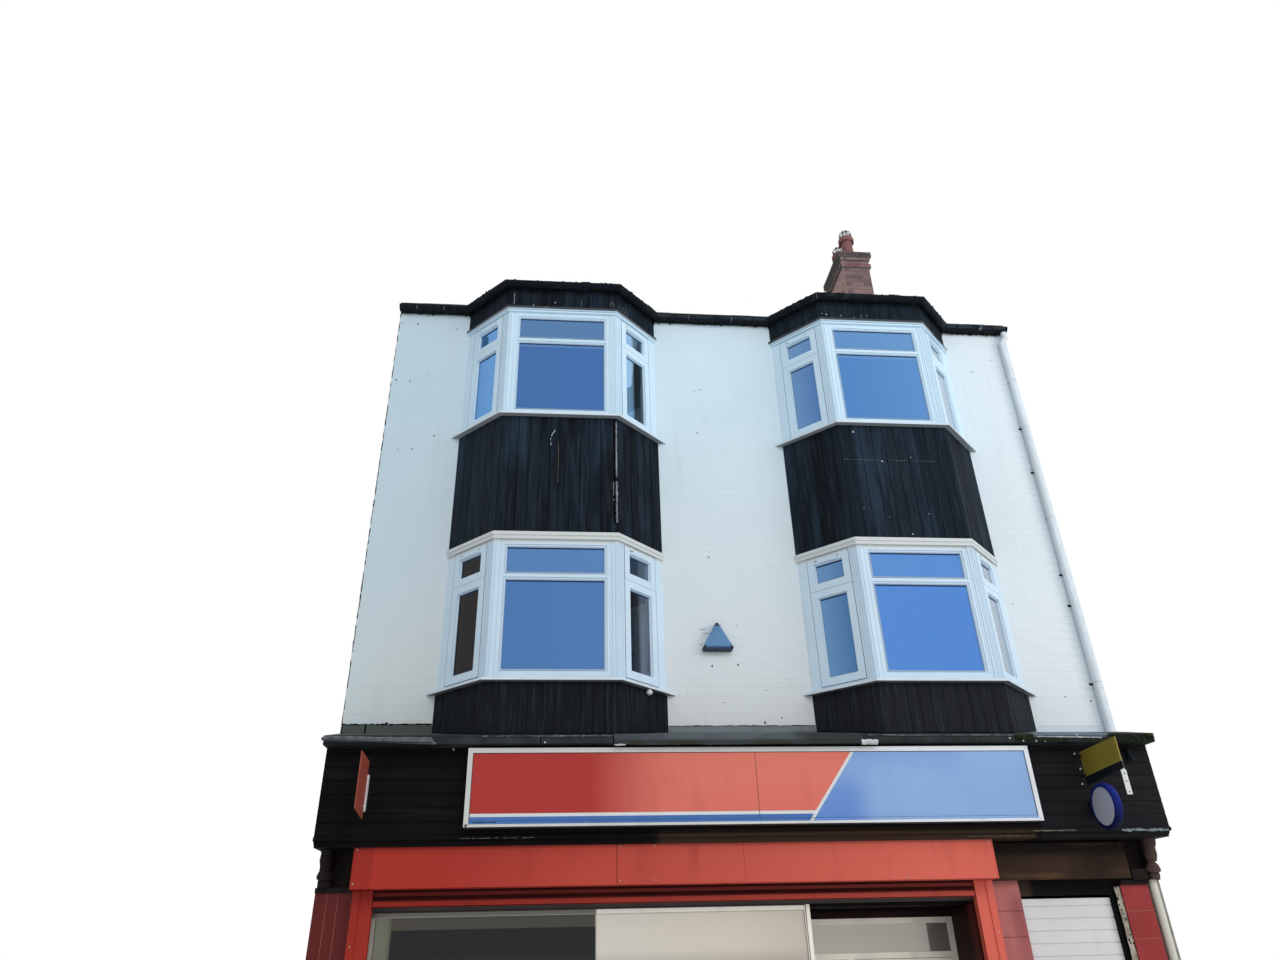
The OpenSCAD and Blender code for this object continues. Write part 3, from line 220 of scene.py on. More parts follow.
def tintRow(tree, tints):
    # Colours at places along X, blended from one to the next
    first, last = tints[0][0], tints[-1][0]
    ramp = addNode(tree, "ShaderNodeValToRGB", {"Fac": axisFactor(tree, "X", first, last)})
    elements = ramp.color_ramp.elements
    elements.remove(elements[-1])
    for index, (x, tint) in enumerate(tints):
        place = (x - first) / (last - first)
        element = elements.new(place) if index else elements[0]
        element.position = place
        element.color = (*linear(tint), 1.0)
    return ramp.outputs["Color"]


def makeGlass(name, look):
    # Tints along X, with one row for each storey: painted reflections, and what shows behind the glass
    material, tree = startMaterial(name, look["rough"], look["mirror"], 0.12, look["cover"])
    colour = tintRow(tree, look["rows"][0])
    for height, row in zip(look.get("heights", ()), look["rows"][1:]):
        colour = mixColour(tree, axisFactor(tree, "Z", height, height + 0.05), colour, tintRow(tree, row))
    colour = addPatches(tree, colour, look["patches"])
    return finishMaterial(material, colour, noiseFactor(tree, 1.3, 0.2, 0.8, 1.0), 0.04, 0.01)


looks = {
    "concrete": look((0.36, 0.35, 0.33), (0.28, 0.27, 0.25), (0.12, 0.11, 0.10), 0.85, bump=0.4),
    "floor_timber": look((0.33, 0.20, 0.11), (0.26, 0.15, 0.08), (0.12, 0.07, 0.04), 0.6),
    "plaster": look((0.66, 0.64, 0.60), (0.60, 0.58, 0.54), (0.44, 0.41, 0.37), 0.8),
    "steel_beam": look((0.08, 0.07, 0.065), (0.055, 0.05, 0.045), (0.03, 0.025, 0.02), 0.7),
    "slate": look((0.075, 0.08, 0.095), (0.05, 0.055, 0.062), (0.03, 0.032, 0.03), 0.6),
    "ridge_clay": look((0.26, 0.10, 0.065), (0.18, 0.075, 0.05), (0.06, 0.05, 0.04), 0.8, bump=0.3),
    "chimney_brick": look((136, 128, 128), (118, 112, 112), (80, 74, 72), 0.9, 0.2, bump=0.5),
    "pot_clay": look((150, 104, 106), (132, 92, 94), (0.05, 0.04, 0.035), 0.8, 0.1, bump=0.2),
    "black_gutter": look((18, 23, 28), (27, 33, 40), (84, 92, 94), 0.55, 0.06, dirtScale=9.0, stretch=(1, 1, 1),
        bump=0.3),
    "white_pipe": look((212, 221, 228), (200, 208, 214), (158, 158, 148), 0.4, dirt=0.4,
        patches=[("Z<2.9", 0.2, (206, 201, 184), 0.8)]),
    "black_board": look((16, 20, 25), (24, 29, 34), (45, 52, 58), 0.65, 0.08, dirtScale=9.0, stretch=(3, 3, 0.15),
        dirt=0.5, grainStretch=(3, 3, 0.1), bump=0.5),
    "deck_timber": look((0.05, 0.04, 0.035), (0.035, 0.03, 0.028), (0.02, 0.02, 0.02), 0.8, 0.1,
        patches=[("Z>8.95", 0.005, (52, 55, 58), 0.95)]),
    "white_sill": look((214, 226, 236), (204, 215, 224), (150, 150, 142), 0.45, dirt=0.4,
        # The patches paint shade on the sills' undersides
        patches=[("Z<4.3215", 0.001, (70, 68, 68), 0.85), ("Z>7.2305 Z<7.2325", 0.001, (70, 68, 68), 0.85)]),
    "white_frame": look((206, 226, 241), (200, 220, 236), (170, 180, 184), 0.3, dirt=0.2,
        # Painted light and shade: frames above 7.2 m bluer and brighter, and a dark line of shade under the head's
        # drip at 8.70 m
        patches=[("Z>7.2", 0.02, (208, 238, 255), 0.5), ("Z>8.722", 0.0015, (22, 28, 34), 0.97),
        ("Z>8.700 Z<8.710", 0.0015, (70, 86, 100), 0.8), ("Z>5.738 Z<5.9", 0.002, (206, 208, 206), 0.85)]),
    "black_fascia": look((13, 12, 14), (22, 20, 21), (50, 46, 44), 0.65, 0.05, dirtScale=6.0, stretch=(0.2, 1, 3),
        grainStretch=(0.1, 2, 2), bump=0.35, patches=[("X>2.6 Y<-0.1", 0.02, (38, 38, 42), 0.6),
        ("X>-0.9 X<2.55 Z<3.03", 0.03, (70, 54, 43), 0.7)]),
    "lead": look((42, 45, 47), (54, 58, 59), (32, 35, 32), 0.65, 0.12, scale=5.0, stretch=(0.6, 1, 1), bump=0.5,
        grainScale=18, patches=[("X>-1.28 X<0.97 Z>3.78", 0.04, (96, 104, 108), 0.9),
        ("X>-1.28 X<0.78 Z>3.966", 0.003, (122, 130, 134), 0.9),
        # Painted shade: dark between x 0.5 and 0.95 under the hood, and dark under the left roll
        ("X>0.5 X<0.95 Z>3.78 Z<3.966", 0.02, (58, 64, 66), 0.8), ("X>3.40 Z<3.93", 0.03, (27, 31, 27), 0.85),
        ("X<-2.9 Z>3.90", 0.01, (83, 90, 86), 0.9), ("X<-2.9 Z<3.79", 0.01, (30, 32, 33), 0.8),
        ("X>2.6 Z>3.93", 0.01, (205, 214, 222), 0.95),
        ("X>2.64 X<3.38 Z>3.80 Z<3.90", 0.012, (112, 126, 134), 0.85)]),
    "sign_frame": look((212, 214, 210), (202, 204, 200), (150, 146, 134), 0.4, metal=0.15,
        # Painted light: whiter to the right; painted shade on the frame's underside
        patches=[("X>0.9", 0.5, (232, 235, 243), 0.8), ("Y>-0.4965 Z<3.0715", 0.0006, (52, 50, 48), 0.9)]),
    "sign_face": look((0.60, 0.075, 0.06), (0.56, 0.065, 0.055), (0.42, 0.06, 0.05), 0.3),
    "red_steel": look((178, 58, 46), (170, 54, 45), (122, 40, 34), 0.55, 0.1, scale=0.8,
        # Painted light and shade: lighter to the right, darker at the left guide, dark in the shade under the box
        # from 2.53 to 2.62 m and a little darker on the rail below
        patches=[("X>-0.6", 2.2, (224, 112, 96), 0.8), ("X<-3.33", 0.01, (150, 46, 38), 0.6),
        ("Z>2.531 Z<2.618 X>-3.33 X<1.98", 0.003, (84, 32, 30), 0.8),
        ("Z<2.531 X>-3.33 X<1.98", 0.003, (150, 46, 40), 0.5)]),
    "shop_aluminium": look((184, 182, 172), (172, 170, 160), (0.2, 0.19, 0.17), 0.4, metal=0.35,
        # Painted light and shade: the head bar dark at the left and pale at the right, the mullion and the entrance
        # frame brightened
        patches=[("X>-3.46 X<-1.43 Z>2.413 Z<2.452", 0.002, (112, 110, 100), 0.95),
        ("X>-1.42 X<0.425 Z>2.413 Z<2.452", 0.002, (250, 246, 236), 0.95),
        ("X>0.43 X<0.481 Y<0.03", 0.002, (252, 246, 234), 0.95), ("Y>0.45", 0.02, (244, 238, 222), 0.9)]),
    "red_tile": look((140, 50, 50), (152, 60, 60), (96, 34, 34), 0.35, 0.15, scale=3.0,
        # Painted light and shade: darker at the left, lighter in the middle
        patches=[("X<-3.0", 0.2, (86, 30, 27), 0.85), ("X>1.5 X<3.0", 0.2, (178, 112, 108), 0.85),
        ("X>2.33 X<2.6 Z<2.5", 0.05, (146, 76, 86), 0.5)]),
    "dark_lining": look((0.026, 0.009, 0.008), (0.018, 0.007, 0.006), (0.01, 0.006, 0.005), 0.6, 0.08,
        # Painted shade: near black above 2.4 m, at the top of the recess
        patches=[("Z>2.40", 0.01, (0.003, 0.002, 0.002), 0.95), ("X>1.97 Y<0.12", 0.01, (0.10, 0.02, 0.018), 0.7)]),
    "console_paint": look((26, 22, 21), (34, 28, 26), (70, 60, 54), 0.75, 0.1, bump=0.4,
        patches=[("X>0 Y<-0.118", 0.008, (88, 70, 66), 0.75)]),
    "white_slats": look((216, 214, 215), (208, 206, 208), (168, 162, 154), 0.5),
    "stained_board": look((40, 31, 26), (60, 45, 35), (104, 76, 50), 0.7, 0.1, stretch=(0.3, 1, 2.4), dirt=0.6,
        # Painted shade: darker above 2.82 m, under the soffit
        bump=0.4, grainStretch=(0.1, 1, 2), patches=[("Z>2.82", 0.03, (26, 22, 19), 0.85)]),
    "sign_plastic": look((0.36, 0.06, 0.05), (0.30, 0.05, 0.045), (0.16, 0.04, 0.035), 0.35),
    "alarm_blue": look((98, 140, 180), (88, 130, 172), (76, 104, 140), 0.35, 0.2,
        patches=[("Z<4.808", 0.006, (46, 66, 98), 0.95), ("Z<4.783", 0.006, (26, 34, 50), 0.9),
        ("Z>5.020", 0.008, (22, 40, 58), 0.95), ("X<-0.325 Z<4.82", 0.006, (20, 32, 44), 0.95),
        ("X>-0.072 Z<4.82", 0.006, (20, 32, 44), 0.95)]),
    # Painted reflections: the red paler and more orange to the right and low down
    "sign_red": signLook((174, 42, 34), (168, 40, 34), 0.3, [("X>-1.15", 0.35, (228, 126, 108), 0.8),
        ("X>-1.0 Z<3.36", 0.10, (216, 104, 92), 0.5)]),
    # Painted reflections: darker blue patches at the top and the lower left
    "sign_pale_blue": signLook((144, 176, 218), (130, 165, 214), 0.3, [("X<1.9 Z>3.55", 0.10, (118, 154, 212), 0.6),
        ("X<0.9 Z<3.25", 0.10, (104, 142, 204), 0.5), ("X<0.95 Z<3.45", 0.12, (72, 118, 198), 0.6)]),
    "sign_stripe_blue": signLook((58, 102, 168), (66, 112, 176)),
    "sign_white": signLook((222, 224, 224), (212, 214, 214)),
    "dull_red_panel": signLook((156, 76, 62), (146, 70, 58), 0.45),
    "olive_yellow_panel": signLook((140, 126, 48), (130, 116, 42), 0.4),
    "navy_rim": look((30, 42, 124), (26, 34, 96), (20, 24, 60), 0.5, 0.06, scale=0.8, dirt=0.2, bump=0.05,
        # Painted shade: darker on the rim's lower part
        patches=[("Z<3.14", 0.12, (17, 20, 46), 0.85)]),
    "pale_round_face": signLook((172, 180, 194), (160, 168, 184), 0.35),
    "dark_gasket": look((38, 42, 48), (48, 52, 58), (70, 74, 76), 0.7, 0.15),
    "pale_gasket": look((120, 135, 150), (134, 150, 164), (96, 104, 112), 0.7, 0.15),
    "sash_shade": look((76, 84, 92), (88, 96, 104), (60, 66, 72), 0.7, 0.1),
    "head_shadow_paint": look((33, 55, 95), (40, 62, 100), (48, 60, 84), 0.7, 0.1),
    "frame_grooves": look((190, 212, 228), (182, 204, 221), (160, 174, 184), 0.4, dirt=0.2),
    "bright_worn_edge": look((184, 194, 198), (138, 148, 152), (66, 72, 72), 0.6, scale=16, dirt=0.5, dirtScale=14),
    "roll_top_highlight": look((122, 128, 136), (84, 88, 94), (52, 54, 56), 0.65, 0.12, scale=16, dirt=0.4,
        dirtScale=14),
    "roll_underside": look((62, 63, 64), (50, 51, 52), (36, 36, 36), 0.8, 0.06, scale=16),
    "lime_crust": look((128, 136, 138), (96, 104, 108), (60, 64, 66), 0.85, 0.08, scale=24, dirt=0.5),
    "gutter_top_highlight": look((46, 55, 62), (32, 39, 46), (80, 88, 90), 0.6, 0.08, scale=6, stretch=(0.4, 1, 1),
        dirt=0.5, dirtScale=12),
    "bare_split_timber": look((108, 108, 114), (146, 150, 160), (62, 58, 60), 0.85, 0.1, scale=9,
        stretch=(3, 3, 0.3), dirt=0.6, bump=0.6),
    "black_split": look((10, 10, 12), (16, 15, 16), (34, 30, 28), 0.9, 0.03),
    "white_flakes": look((204, 214, 220), (188, 190, 192), (140, 120, 116), 0.8, 0.15, scale=20),
    "old_red_paint": look((150, 60, 54), (190, 160, 156), (96, 44, 40), 0.8, 0.15, scale=14, dirtScale=20),
    "moss": look((36, 44, 30), (52, 60, 40), (34, 30, 26), 0.95, 0.05, scale=18, bump=0.8),
    "pale_lead_roll": look((112, 114, 120), (64, 66, 69), (44, 45, 47), 0.65, 0.12, scale=14, stretch=(0.5, 1, 2.0),
        dirt=0.6, dirtScale=8.0, bump=0.6, grainScale=20),
    "grey_lead_hood": look((87, 95, 99), (75, 83, 87), (52, 53, 49), 0.7, 0.1, scale=3, stretch=(1, 1, 0.6),
        # Painted light and shade: lighter on the upward slope, darker to the right of x 0.42
        dirt=0.35, dirtScale=6.0, bump=0.6, grainScale=14, patches=[("Y>-0.53", 0.01, (104, 110, 114), 0.8),
        ("X<-0.80", 0.06, (60, 68, 73), 0.6), ("X>0.42", 0.10, (44, 48, 50), 0.85),
        ("Z<3.778", 0.012, (48, 52, 49), 0.8), ("X>-1.14 X<-1.04 Z<3.765", 0.02, (50, 46, 34), 0.7),
        ("X>-0.82 X<-0.50 Z<3.765", 0.03, (44, 42, 32), 0.7), ("X>0.0 X<0.33 Z<3.765", 0.03, (46, 44, 33), 0.7),
        ("X>0.34 X<0.80 Z>3.81", 0.03, (52, 58, 58), 0.7)]),
    # Worn paint on the mouldings and bays, and also the painted shadow line over the trickle vents
    "worn_moulding_paint_and_shade": look((110, 108, 98), (78, 76, 68), (46, 44, 38), 0.8, 0.1, scale=10, stretch=(1, 1, 1),
        dirt=0.6, dirtScale=14),
    "peeling_jamb_paint": look((176, 170, 154), (128, 116, 104), (40, 32, 30), 0.75, 0.15, scale=12,
        stretch=(1, 1, 0.5), dirt=0.8, dirtScale=16, bump=0.5),
    "bright_bolts": look((200, 204, 206), (182, 184, 184), (120, 112, 104), 0.4, metal=0.2, scale=20),
    "dark_steel": look((34, 33, 34), (46, 42, 40), (80, 56, 42), 0.6, 0.2, metal=0.3, scale=12),
    "black_wire": look((20, 24, 28), (30, 34, 38), (50, 44, 40), 0.8, 0.05, scale=12),
    "dark_red_shade_and_joints": look((62, 20, 19), (50, 17, 17), (30, 14, 14), 0.8, 0.05, stretch=(0.3, 1, 1)),
    "tile_grout": look((168, 108, 100), (150, 92, 86), (90, 50, 46), 0.8, 0.1)}
finishes = {name: makePlain(name, values) for name, values in looks.items()}

finishes["white_brick"] = makePaintedBrick("white_painted_brick", {
    "paint": (212, 231, 241), "shade": (206, 226, 237), "grime": (170, 176, 176), "bare": (120, 118, 112),
    "streaks": 0.14, "spots": 0.3, "uneven": 0.1, "rough": 0.65,
    # The patches paint light and shade: darker and bluer at the left, whiter at the right, less blue low down
    "patches": [("Z<5.8", 1.8, (217, 217, 217), 0.85), ("X<-3.1", 0.5, (184, 207, 220), 0.5),
                ("X<-2.5 Z<5.1", 0.5, (213, 219, 215), 0.5), ("X>2.9", 0.6, (222, 230, 235), 0.7)]})
finishes["party_brick"] = makeMortar("party_mortar", {
    "bare": (0.30, 0.28, 0.25), "dirty": (0.20, 0.18, 0.16), "paint": (200, 218, 228)})
finishes["red_brick"] = makeBrick("red_brown_brick", {
    "dark": (0.105, 0.048, 0.036), "light": (0.30, 0.125, 0.078), "soot": (0.05, 0.035, 0.03), "sootiness": 0.35,
    "rough": 0.85})
finishes["stack_brick"] = makeBrick("sooty_chimney_brick", {
    "dark": (0.15, 0.095, 0.10), "light": (0.34, 0.215, 0.215), "soot": (0.12, 0.095, 0.10), "sootiness": 0.4,
    "rough": 0.88,
    # Painted light and shade: the left face paler, and the undersides of the cap's overhang dark
    "patches": [("X<3.275", 0.004, (206, 170, 164), 0.75), ("Z>13.45", 0.02, (60, 60, 64), 0.8),
                ("Z>13.24 Z<13.32", 0.02, (128, 72, 60), 0.5), ("X<3.250 Z>13.20", 0.003, (66, 76, 70), 0.9)]})
# The rows paint the sky's reflection in each pane, with net curtains and dark rooms behind some; the patches paint
# paler reflections in the top lights and under the transoms
finishes["window_glass"] = makeGlass("window_glass", {
    "heights": (6.4,), "rough": 0.03, "mirror": 0.55, "cover": 0.97,
    "rows": (((-3.0, (44, 46, 50)), (-2.72, (34, 32, 34)), (-2.55, (36, 34, 36)), (-2.45, (80, 122, 178)),
              (-1.25, (84, 126, 184)), (-1.13, (36, 42, 48)), (-1.03, (56, 62, 70)), (-0.99, (122, 134, 146)),
              (-0.90, (102, 114, 126)), (-0.84, (140, 156, 168)), (0.85, (110, 152, 196)), (1.10, (80, 122, 170)),
              (1.30, (88, 140, 212)), (2.45, (86, 138, 212)), (2.60, (176, 188, 199)), (3.0, (188, 200, 212))),
             ((-3.0, (84, 137, 198)), (-2.55, (104, 165, 226)), (-2.45, (72, 113, 172)), (-1.25, (70, 113, 176)),
              (-1.12, (150, 196, 232)), (-1.035, (146, 190, 226)), (-1.015, (48, 58, 66)), (-0.93, (50, 66, 76)),
              (-0.90, (112, 134, 150)), (-0.84, (122, 146, 160)), (0.85, (112, 152, 196)), (1.10, (88, 130, 184)),
              (1.30, (84, 134, 196)), (2.45, (96, 146, 204)), (2.60, (186, 200, 213)), (3.0, (200, 210, 219)))),
    "patches": [("X>-2.45 X<2.45 Z>8.32", 0.005, (130, 172, 208), 0.28),
                ("X>-2.45 X<-1.2 Z>8.32", 0.005, (86, 122, 150), 0.3),
                ("X>-2.45 X<2.45 Z>8.20 Z<8.262", 0.006, (132, 172, 212), 0.28),
                ("X>-2.45 X<2.45 Z>5.41 Z<6.0", 0.005, (120, 162, 206), 0.2)]})
# The tints paint the view into the shop: its lit pale ceiling to the right of x -1.42, and the dark room to the left
# and low down
finishes["shop_glass"] = makeGlass("shop_glass", {
    "rough": 0.04, "mirror": 0.5, "cover": 0.93,
    "rows": (((-3.4, (120, 120, 108)), (-3.2, (116, 116, 104)), (-3.17, (80, 78, 70)), (-1.43, (78, 77, 70)),
              (-1.42, (216, 211, 200)), (-0.2, (214, 206, 192)), (0.45, (200, 192, 180)), (0.6, (190, 186, 178)),
              (1.6, (182, 178, 170)), (2.0, (130, 128, 122))),),
    "patches": [("X>-3.17 X<-1.43 Z<2.315", 0.004, (38, 42, 42), 0.9), ("X<0.45 Z<2.0", 0.12, (70, 74, 74), 0.7)]})
finishes["laid_slates"] = makeToned("slate", {
    "dark": (0.045, 0.048, 0.056), "light": (0.095, 0.10, 0.115), "bare": (0.12, 0.125, 0.115), "worn": 0.4,
    "scale": 8.0, "stretch": (1, 1, 1), "grain": 40, "bump": 0.4, "rough": 0.55, "gloss": 0.3})
finishes["boards"] = makeToned("black_boards", {
    "dark": (14, 20, 26), "light": (25, 33, 41), "bare": (54, 64, 74), "worn": 0.55, "scale": 11.0,
    "stretch": (4, 4, 0.2), "grain": 26, "bump": 0.7, "rough": 0.7, "gloss": 0.07,
    "bleach": ((60, 82, 104), 0.30, 2.4, 5.4),
    "patches": [("Z<5.0", 0.3, (24, 25, 28), 0.75), ("X<-2.484 Z>5.8 Z<7.3", 0.004, (33, 45, 54), 0.35),
                ("X>1.2 X<2.5 Z>5.8 Z<7.3", 0.004, (32, 42, 54), 0.35), ("X>0.7 Z>8.7", 0.02, (25, 34, 40), 0.6),
                ("X>0.7 Z<4.4", 0.02, (36, 37, 42), 0.6)]})

for part in frame["record"]["subparts"]:
    cadObject = nodes[part["node"]]
    cadObject.data.materials.clear()
    cadObject.data.materials.append(finishes[part["material_slot"]])
print("materials on the frame:", len(finishes))


# Mesh building


def quads(rows, count, closed=True, turned=False):
    # The faces between rows of count points each
    faces = [[a * count + i, a * count + (i + 1) % count, (a + 1) * count + (i + 1) % count, (a + 1) * count + i]
             for a in range(rows - 1) for i in range(count if closed else count - 1)]
    return [face[:1] + face[:0:-1] for face in faces] if turned else faces


def rectangle(x0, z0, x1, z1):
    return [(x0, z0), (x1, z0), (x1, z1), (x0, z1)]


class Shape:
    def __init__(self):
        self.points, self.faces, self.tones = [], [], []

    def add(self, points, faces, tone=0.5):
        start = len(self.points)
        self.points += points
        self.faces += [[start + i for i in face] for face in faces]
        self.tones += [tone] * len(points)

    def tile(self, outline, place, depth, edge, tone=0.5):
        # A convex outline raised to depth with its rim drawn in by edge
        middle = [sum(axis) / len(outline) for axis in zip(*outline)]
        drawnIn = lambda p, m: m + (p - m) - math.copysign(min(edge, abs(p - m)), p - m)
        top = [(drawnIn(u, middle[0]), drawnIn(v, middle[1])) for u, v in outline]
        count = len(outline)
        points = [place(u, v, -0.002) for u, v in outline] + [place(u, v, depth) for u, v in top]
        self.add(points, quads(2, count) + [list(range(count, 2 * count))], tone)

    def box(self, low, high):
        xs, ys, zs = zip(low, high)
        self.add([Vector((x, y, z)) for z in zs for y in ys for x in xs],
                 [[0, 2, 3, 1], [4, 5, 7, 6], [0, 1, 5, 4], [2, 6, 7, 3], [0, 4, 6, 2], [1, 3, 7, 5]])

    def ring(self, place, span, profile):
        # A mitred frame round a rectangle: profile gives how far in and how far out each edge of it lies
        u0, v0, u1, v1 = span
        self.add([place(u, v, out) for inset, out in profile
                  for u, v in rectangle(u0 + inset, v0 + inset, u1 - inset, v1 - inset)], quads(len(profile), 4))

    def strip(self, place, start, end, steps, width, depth, rng=None, ragged=0.0, tone=0.5, back=0.001):
        # A thin strip along a line on a face, its two edges wandering by ragged
        spine = [[a + (b - a) * i / steps for a, b in zip(start, end)] for i in range(steps + 1)]
        direction = Vector([b - a for a, b in zip(spine[0], spine[-1])]).normalized()
        side = Vector((-direction.y, direction.x))
        points = []
        for u, v in spine:
            for sign, lifts in ((1, (-back, depth)), (-1, (depth, -back))):
                reach = sign * (width / 2 + (rng.uniform(-ragged, ragged) if rng else 0.0))
                points += [place(u + side.x * reach, v + side.y * reach, lift) for lift in lifts]
        last = 4 * steps
        self.add(points, quads(steps + 1, 4, False) + [[0, 3, 2, 1], [last, last + 1, last + 2, last + 3]], tone)

    def strips(self, place, rows, rng=None):
        # A strip for each row of x0, z0, x1, z1, steps, width and depth, and how ragged it is where it is
        for x0, z0, x1, z1, steps, width, depth, *ragged in rows:
            self.strip(place, (x0, z0), (x1, z1), steps, width, depth, rng if ragged else None, *ragged)

    def stud(self, place, u, v, radius, height, sides=8, out=0.0):
        # A low domed head on a face
        turns = [2 * math.pi * step / sides for step in range(sides)]
        self.add([place(u + radius * share * math.cos(a), v + radius * share * math.sin(a), out + lift)
                  for share, lift in ((1.0, -0.001), (1.0, height * 0.4), (0.6, height)) for a in turns],
                 quads(3, sides) + [list(range(2 * sides, 3 * sides))])

    def flake(self, place, u, v, size, rng):
        outline = [(u + size * rng.uniform(0.5, 1.1) * math.cos(a), v + size * rng.uniform(0.5, 1.5) * math.sin(a))
                   for a in (0.3, 1.4, 2.5, 3.6, 4.7, 5.6)]
        self.tile(outline, place, 0.0022, size * 0.15)

    def lathe(self, origin, axis, outline, segments=24):
        # Turned round an axis from a list of (distance along it, radius)
        side = axis.orthogonal().normalized()
        other = axis.cross(side)
        count = len(outline)
        points, faces = [], []
        for step in range(segments):
            angle = 2 * math.pi * step / segments
            spoke = side * math.cos(angle) + other * math.sin(angle)
            points += [origin + axis * distance + spoke * radius for distance, radius in outline]
            here, after = step * count, (step + 1) % segments * count
            faces += [[here + i, after + i, after + i + 1, here + i + 1] for i in range(count - 1)]
        self.add(points, faces)

    def mound(self, spot, radius, rng):
        # A small uneven cushion of moss standing on a spot
        low, high = [], []
        for step in range(6):
            angle = 2 * math.pi * step / 6
            reach = radius * rng.uniform(0.7, 1.25)
            spoke = Vector((math.cos(angle) * reach, math.sin(angle) * reach * 0.7, 0))
            low.append(spot + spoke - up * radius * 0.4)
            high.append(spot + spoke * 0.75 + up * radius * rng.uniform(0.25, 0.5))
        self.add(low + high + [spot + up * radius * rng.uniform(0.55, 0.9)],
                 quads(2, 6) + [[6 + i, 6 + (i + 1) % 6, 12] for i in range(6)], rng.random())

    def piece(self, name, slot, finish=None, bevel=0.0):
        mesh = bpy.data.meshes.new(name)
        mesh.from_pydata([tuple(p) for p in self.points], [], self.faces)
        mesh.attributes.new("tone", "FLOAT", "POINT").data.foreach_set("value", self.tones)
        mesh.materials.append(finishes[finish or slot])
        mesh.validate()
        mesh.update()
        thing = bpy.data.objects.new(name, mesh)
        bpy.context.collection.objects.link(thing)
        if bevel:
            modifier = thing.modifiers.new("worn_edges", "BEVEL")
            modifier.width, modifier.segments = bevel, 2
        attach(thing, "root")
        return thing


def onPlane(origin, across, upward):
    # Turns distances along a face and out from it into a place in the frame
    out = across.cross(upward)
    return lambda u, v, w: origin + across * u + upward * v + out * w


def frontPlane(y):
    # The front face that stands at y, measured in the frame's own X and Z
    return onPlane(Vector((0, y, 0)), right, up)


def clipped(outline, limit):
    # Keeps the part of an outline where limit(u, v) is negative
    if all(limit(*p) <= 0 for p in outline):
        return outline
    kept = []
    for start, end in zip(outline, outline[1:] + outline[:1]):
        a, b = limit(*start), limit(*end)
        if a <= 0:
            kept.append(start)
        if (a < 0) != (b < 0) and a != b:
            t = a / (a - b)
            kept.append((start[0] + (end[0] - start[0]) * t, start[1] + (end[1] - start[1]) * t))
    return kept


brickwork = {
    "course": 0.087, "length": 0.235,
    # The joint between two bricks, how far they stand out, their drawn-in rim and how much they differ
    "bare": (0.010, 0.004, 0.004, 0.0016), "chimney": (0.010, 0.006, 0.004, 0.0016),
    "painted": (0.003, 0.0012, 0.0035, 0.0004)}


def layBricks(shape, place, region, holes=(), limits=(), seed=1, kind="bare", startShift=0.0):
    # Stretcher bond over region = (u0, v0, u1, v1), with the bricks cut at holes and sloping limits
    rng = random.Random(seed)
    u0, v0, u1, v1 = region
    course, step = brickwork["course"], brickwork["length"]
    joint, relief, edge, jitter = brickwork[kind]
    row, low = 0, v0
    while low < v1 - 0.01:
        high = min(low + course, v1)
        spans = [(u0, u1)]
        for a, b, c, d in holes:
            if b < (low + high) / 2 < d:
                spans = [(f, g) for s, e in spans for f, g in ((s, min(e, a)), (max(s, c), e)) if g - f > 0.02]
        for s, e in spans:
            left = u0 + startShift - step + (step / 2 if row % 2 else 0)
            while left < e:
                a, b = max(left, s) + joint / 2, min(left + step, e) - joint / 2
                left += step
                if b - a < 0.018:
                    continue
                outline = rectangle(a, low + joint / 2, b, high - joint / 2)
                for limit in limits:
                    outline = clipped(outline, limit) if len(outline) > 2 else []
                if len(outline) > 2:
                    shape.tile(outline, place, relief + rng.uniform(-1, 1) * jitter, edge, rng.random())
        row += 1
        low += course


# Brickwork: white painted on the front and rear, bare on the party walls and the chimney

walls = {
    "half": 3.83, "depth": 8.0, "eaves": 9.0, "pitch": 32.0, "bayMiddle": 1.858, "bayHalf": 1.125,
    "frontFoot": 3.965, "rearWindow": (1.2, 1.25), "rearSills": (1.0, 4.45, 7.36), "rearDoor": (0.96, 0.10, 2.20)}
rise = math.tan(math.radians(walls["pitch"]))


def dressFront():
    shape = Shape()
    inner, outer = walls["bayMiddle"] - walls["bayHalf"], walls["bayMiddle"] + walls["bayHalf"]
    layBricks(shape, frontPlane(0), (-walls["half"], walls["frontFoot"], walls["half"], walls["eaves"]),
              [(-outer, 0, -inner, 20), (inner, 0, outer, 20)], seed=4, kind="painted")
    shape.piece("front_bricks", "white_brick")


def dressParty(name, side):
    # A gable: plain brick, cut to the slopes of the roof
    shape = Shape()
    place = onPlane(Vector((side * walls["half"], 0 if side > 0 else walls["depth"], 0)), inward * side, up)
    limits = [lambda u, v: v - walls["eaves"] - u * rise + 0.01,
              lambda u, v: v - walls["eaves"] - (walls["depth"] - u) * rise + 0.01]
    layBricks(shape, place, (0, 0, walls["depth"], 11.6), limits=limits, seed=11 + side)
    shape.piece(name, "party_brick", "red_brick")


def dressRear():
    shape = Shape()
    width, height = walls["rearWindow"]
    middle = walls["bayMiddle"]
    holes = [(side * middle - width / 2, sill, side * middle + width / 2, sill + height)
             for side in (-1, 1) for sill in walls["rearSills"] if side > 0 or sill > 2]
    doorWidth, doorFoot, doorHead = walls["rearDoor"]
    holes.append((-middle - doorWidth / 2, doorFoot, -middle + doorWidth / 2, doorHead))
    layBricks(shape, onPlane(Vector((0, walls["depth"], 0)), -right, up),
              (-walls["half"], 0, walls["half"], walls["eaves"]), holes, seed=23)
    shape.piece("rear_bricks", "white_brick")


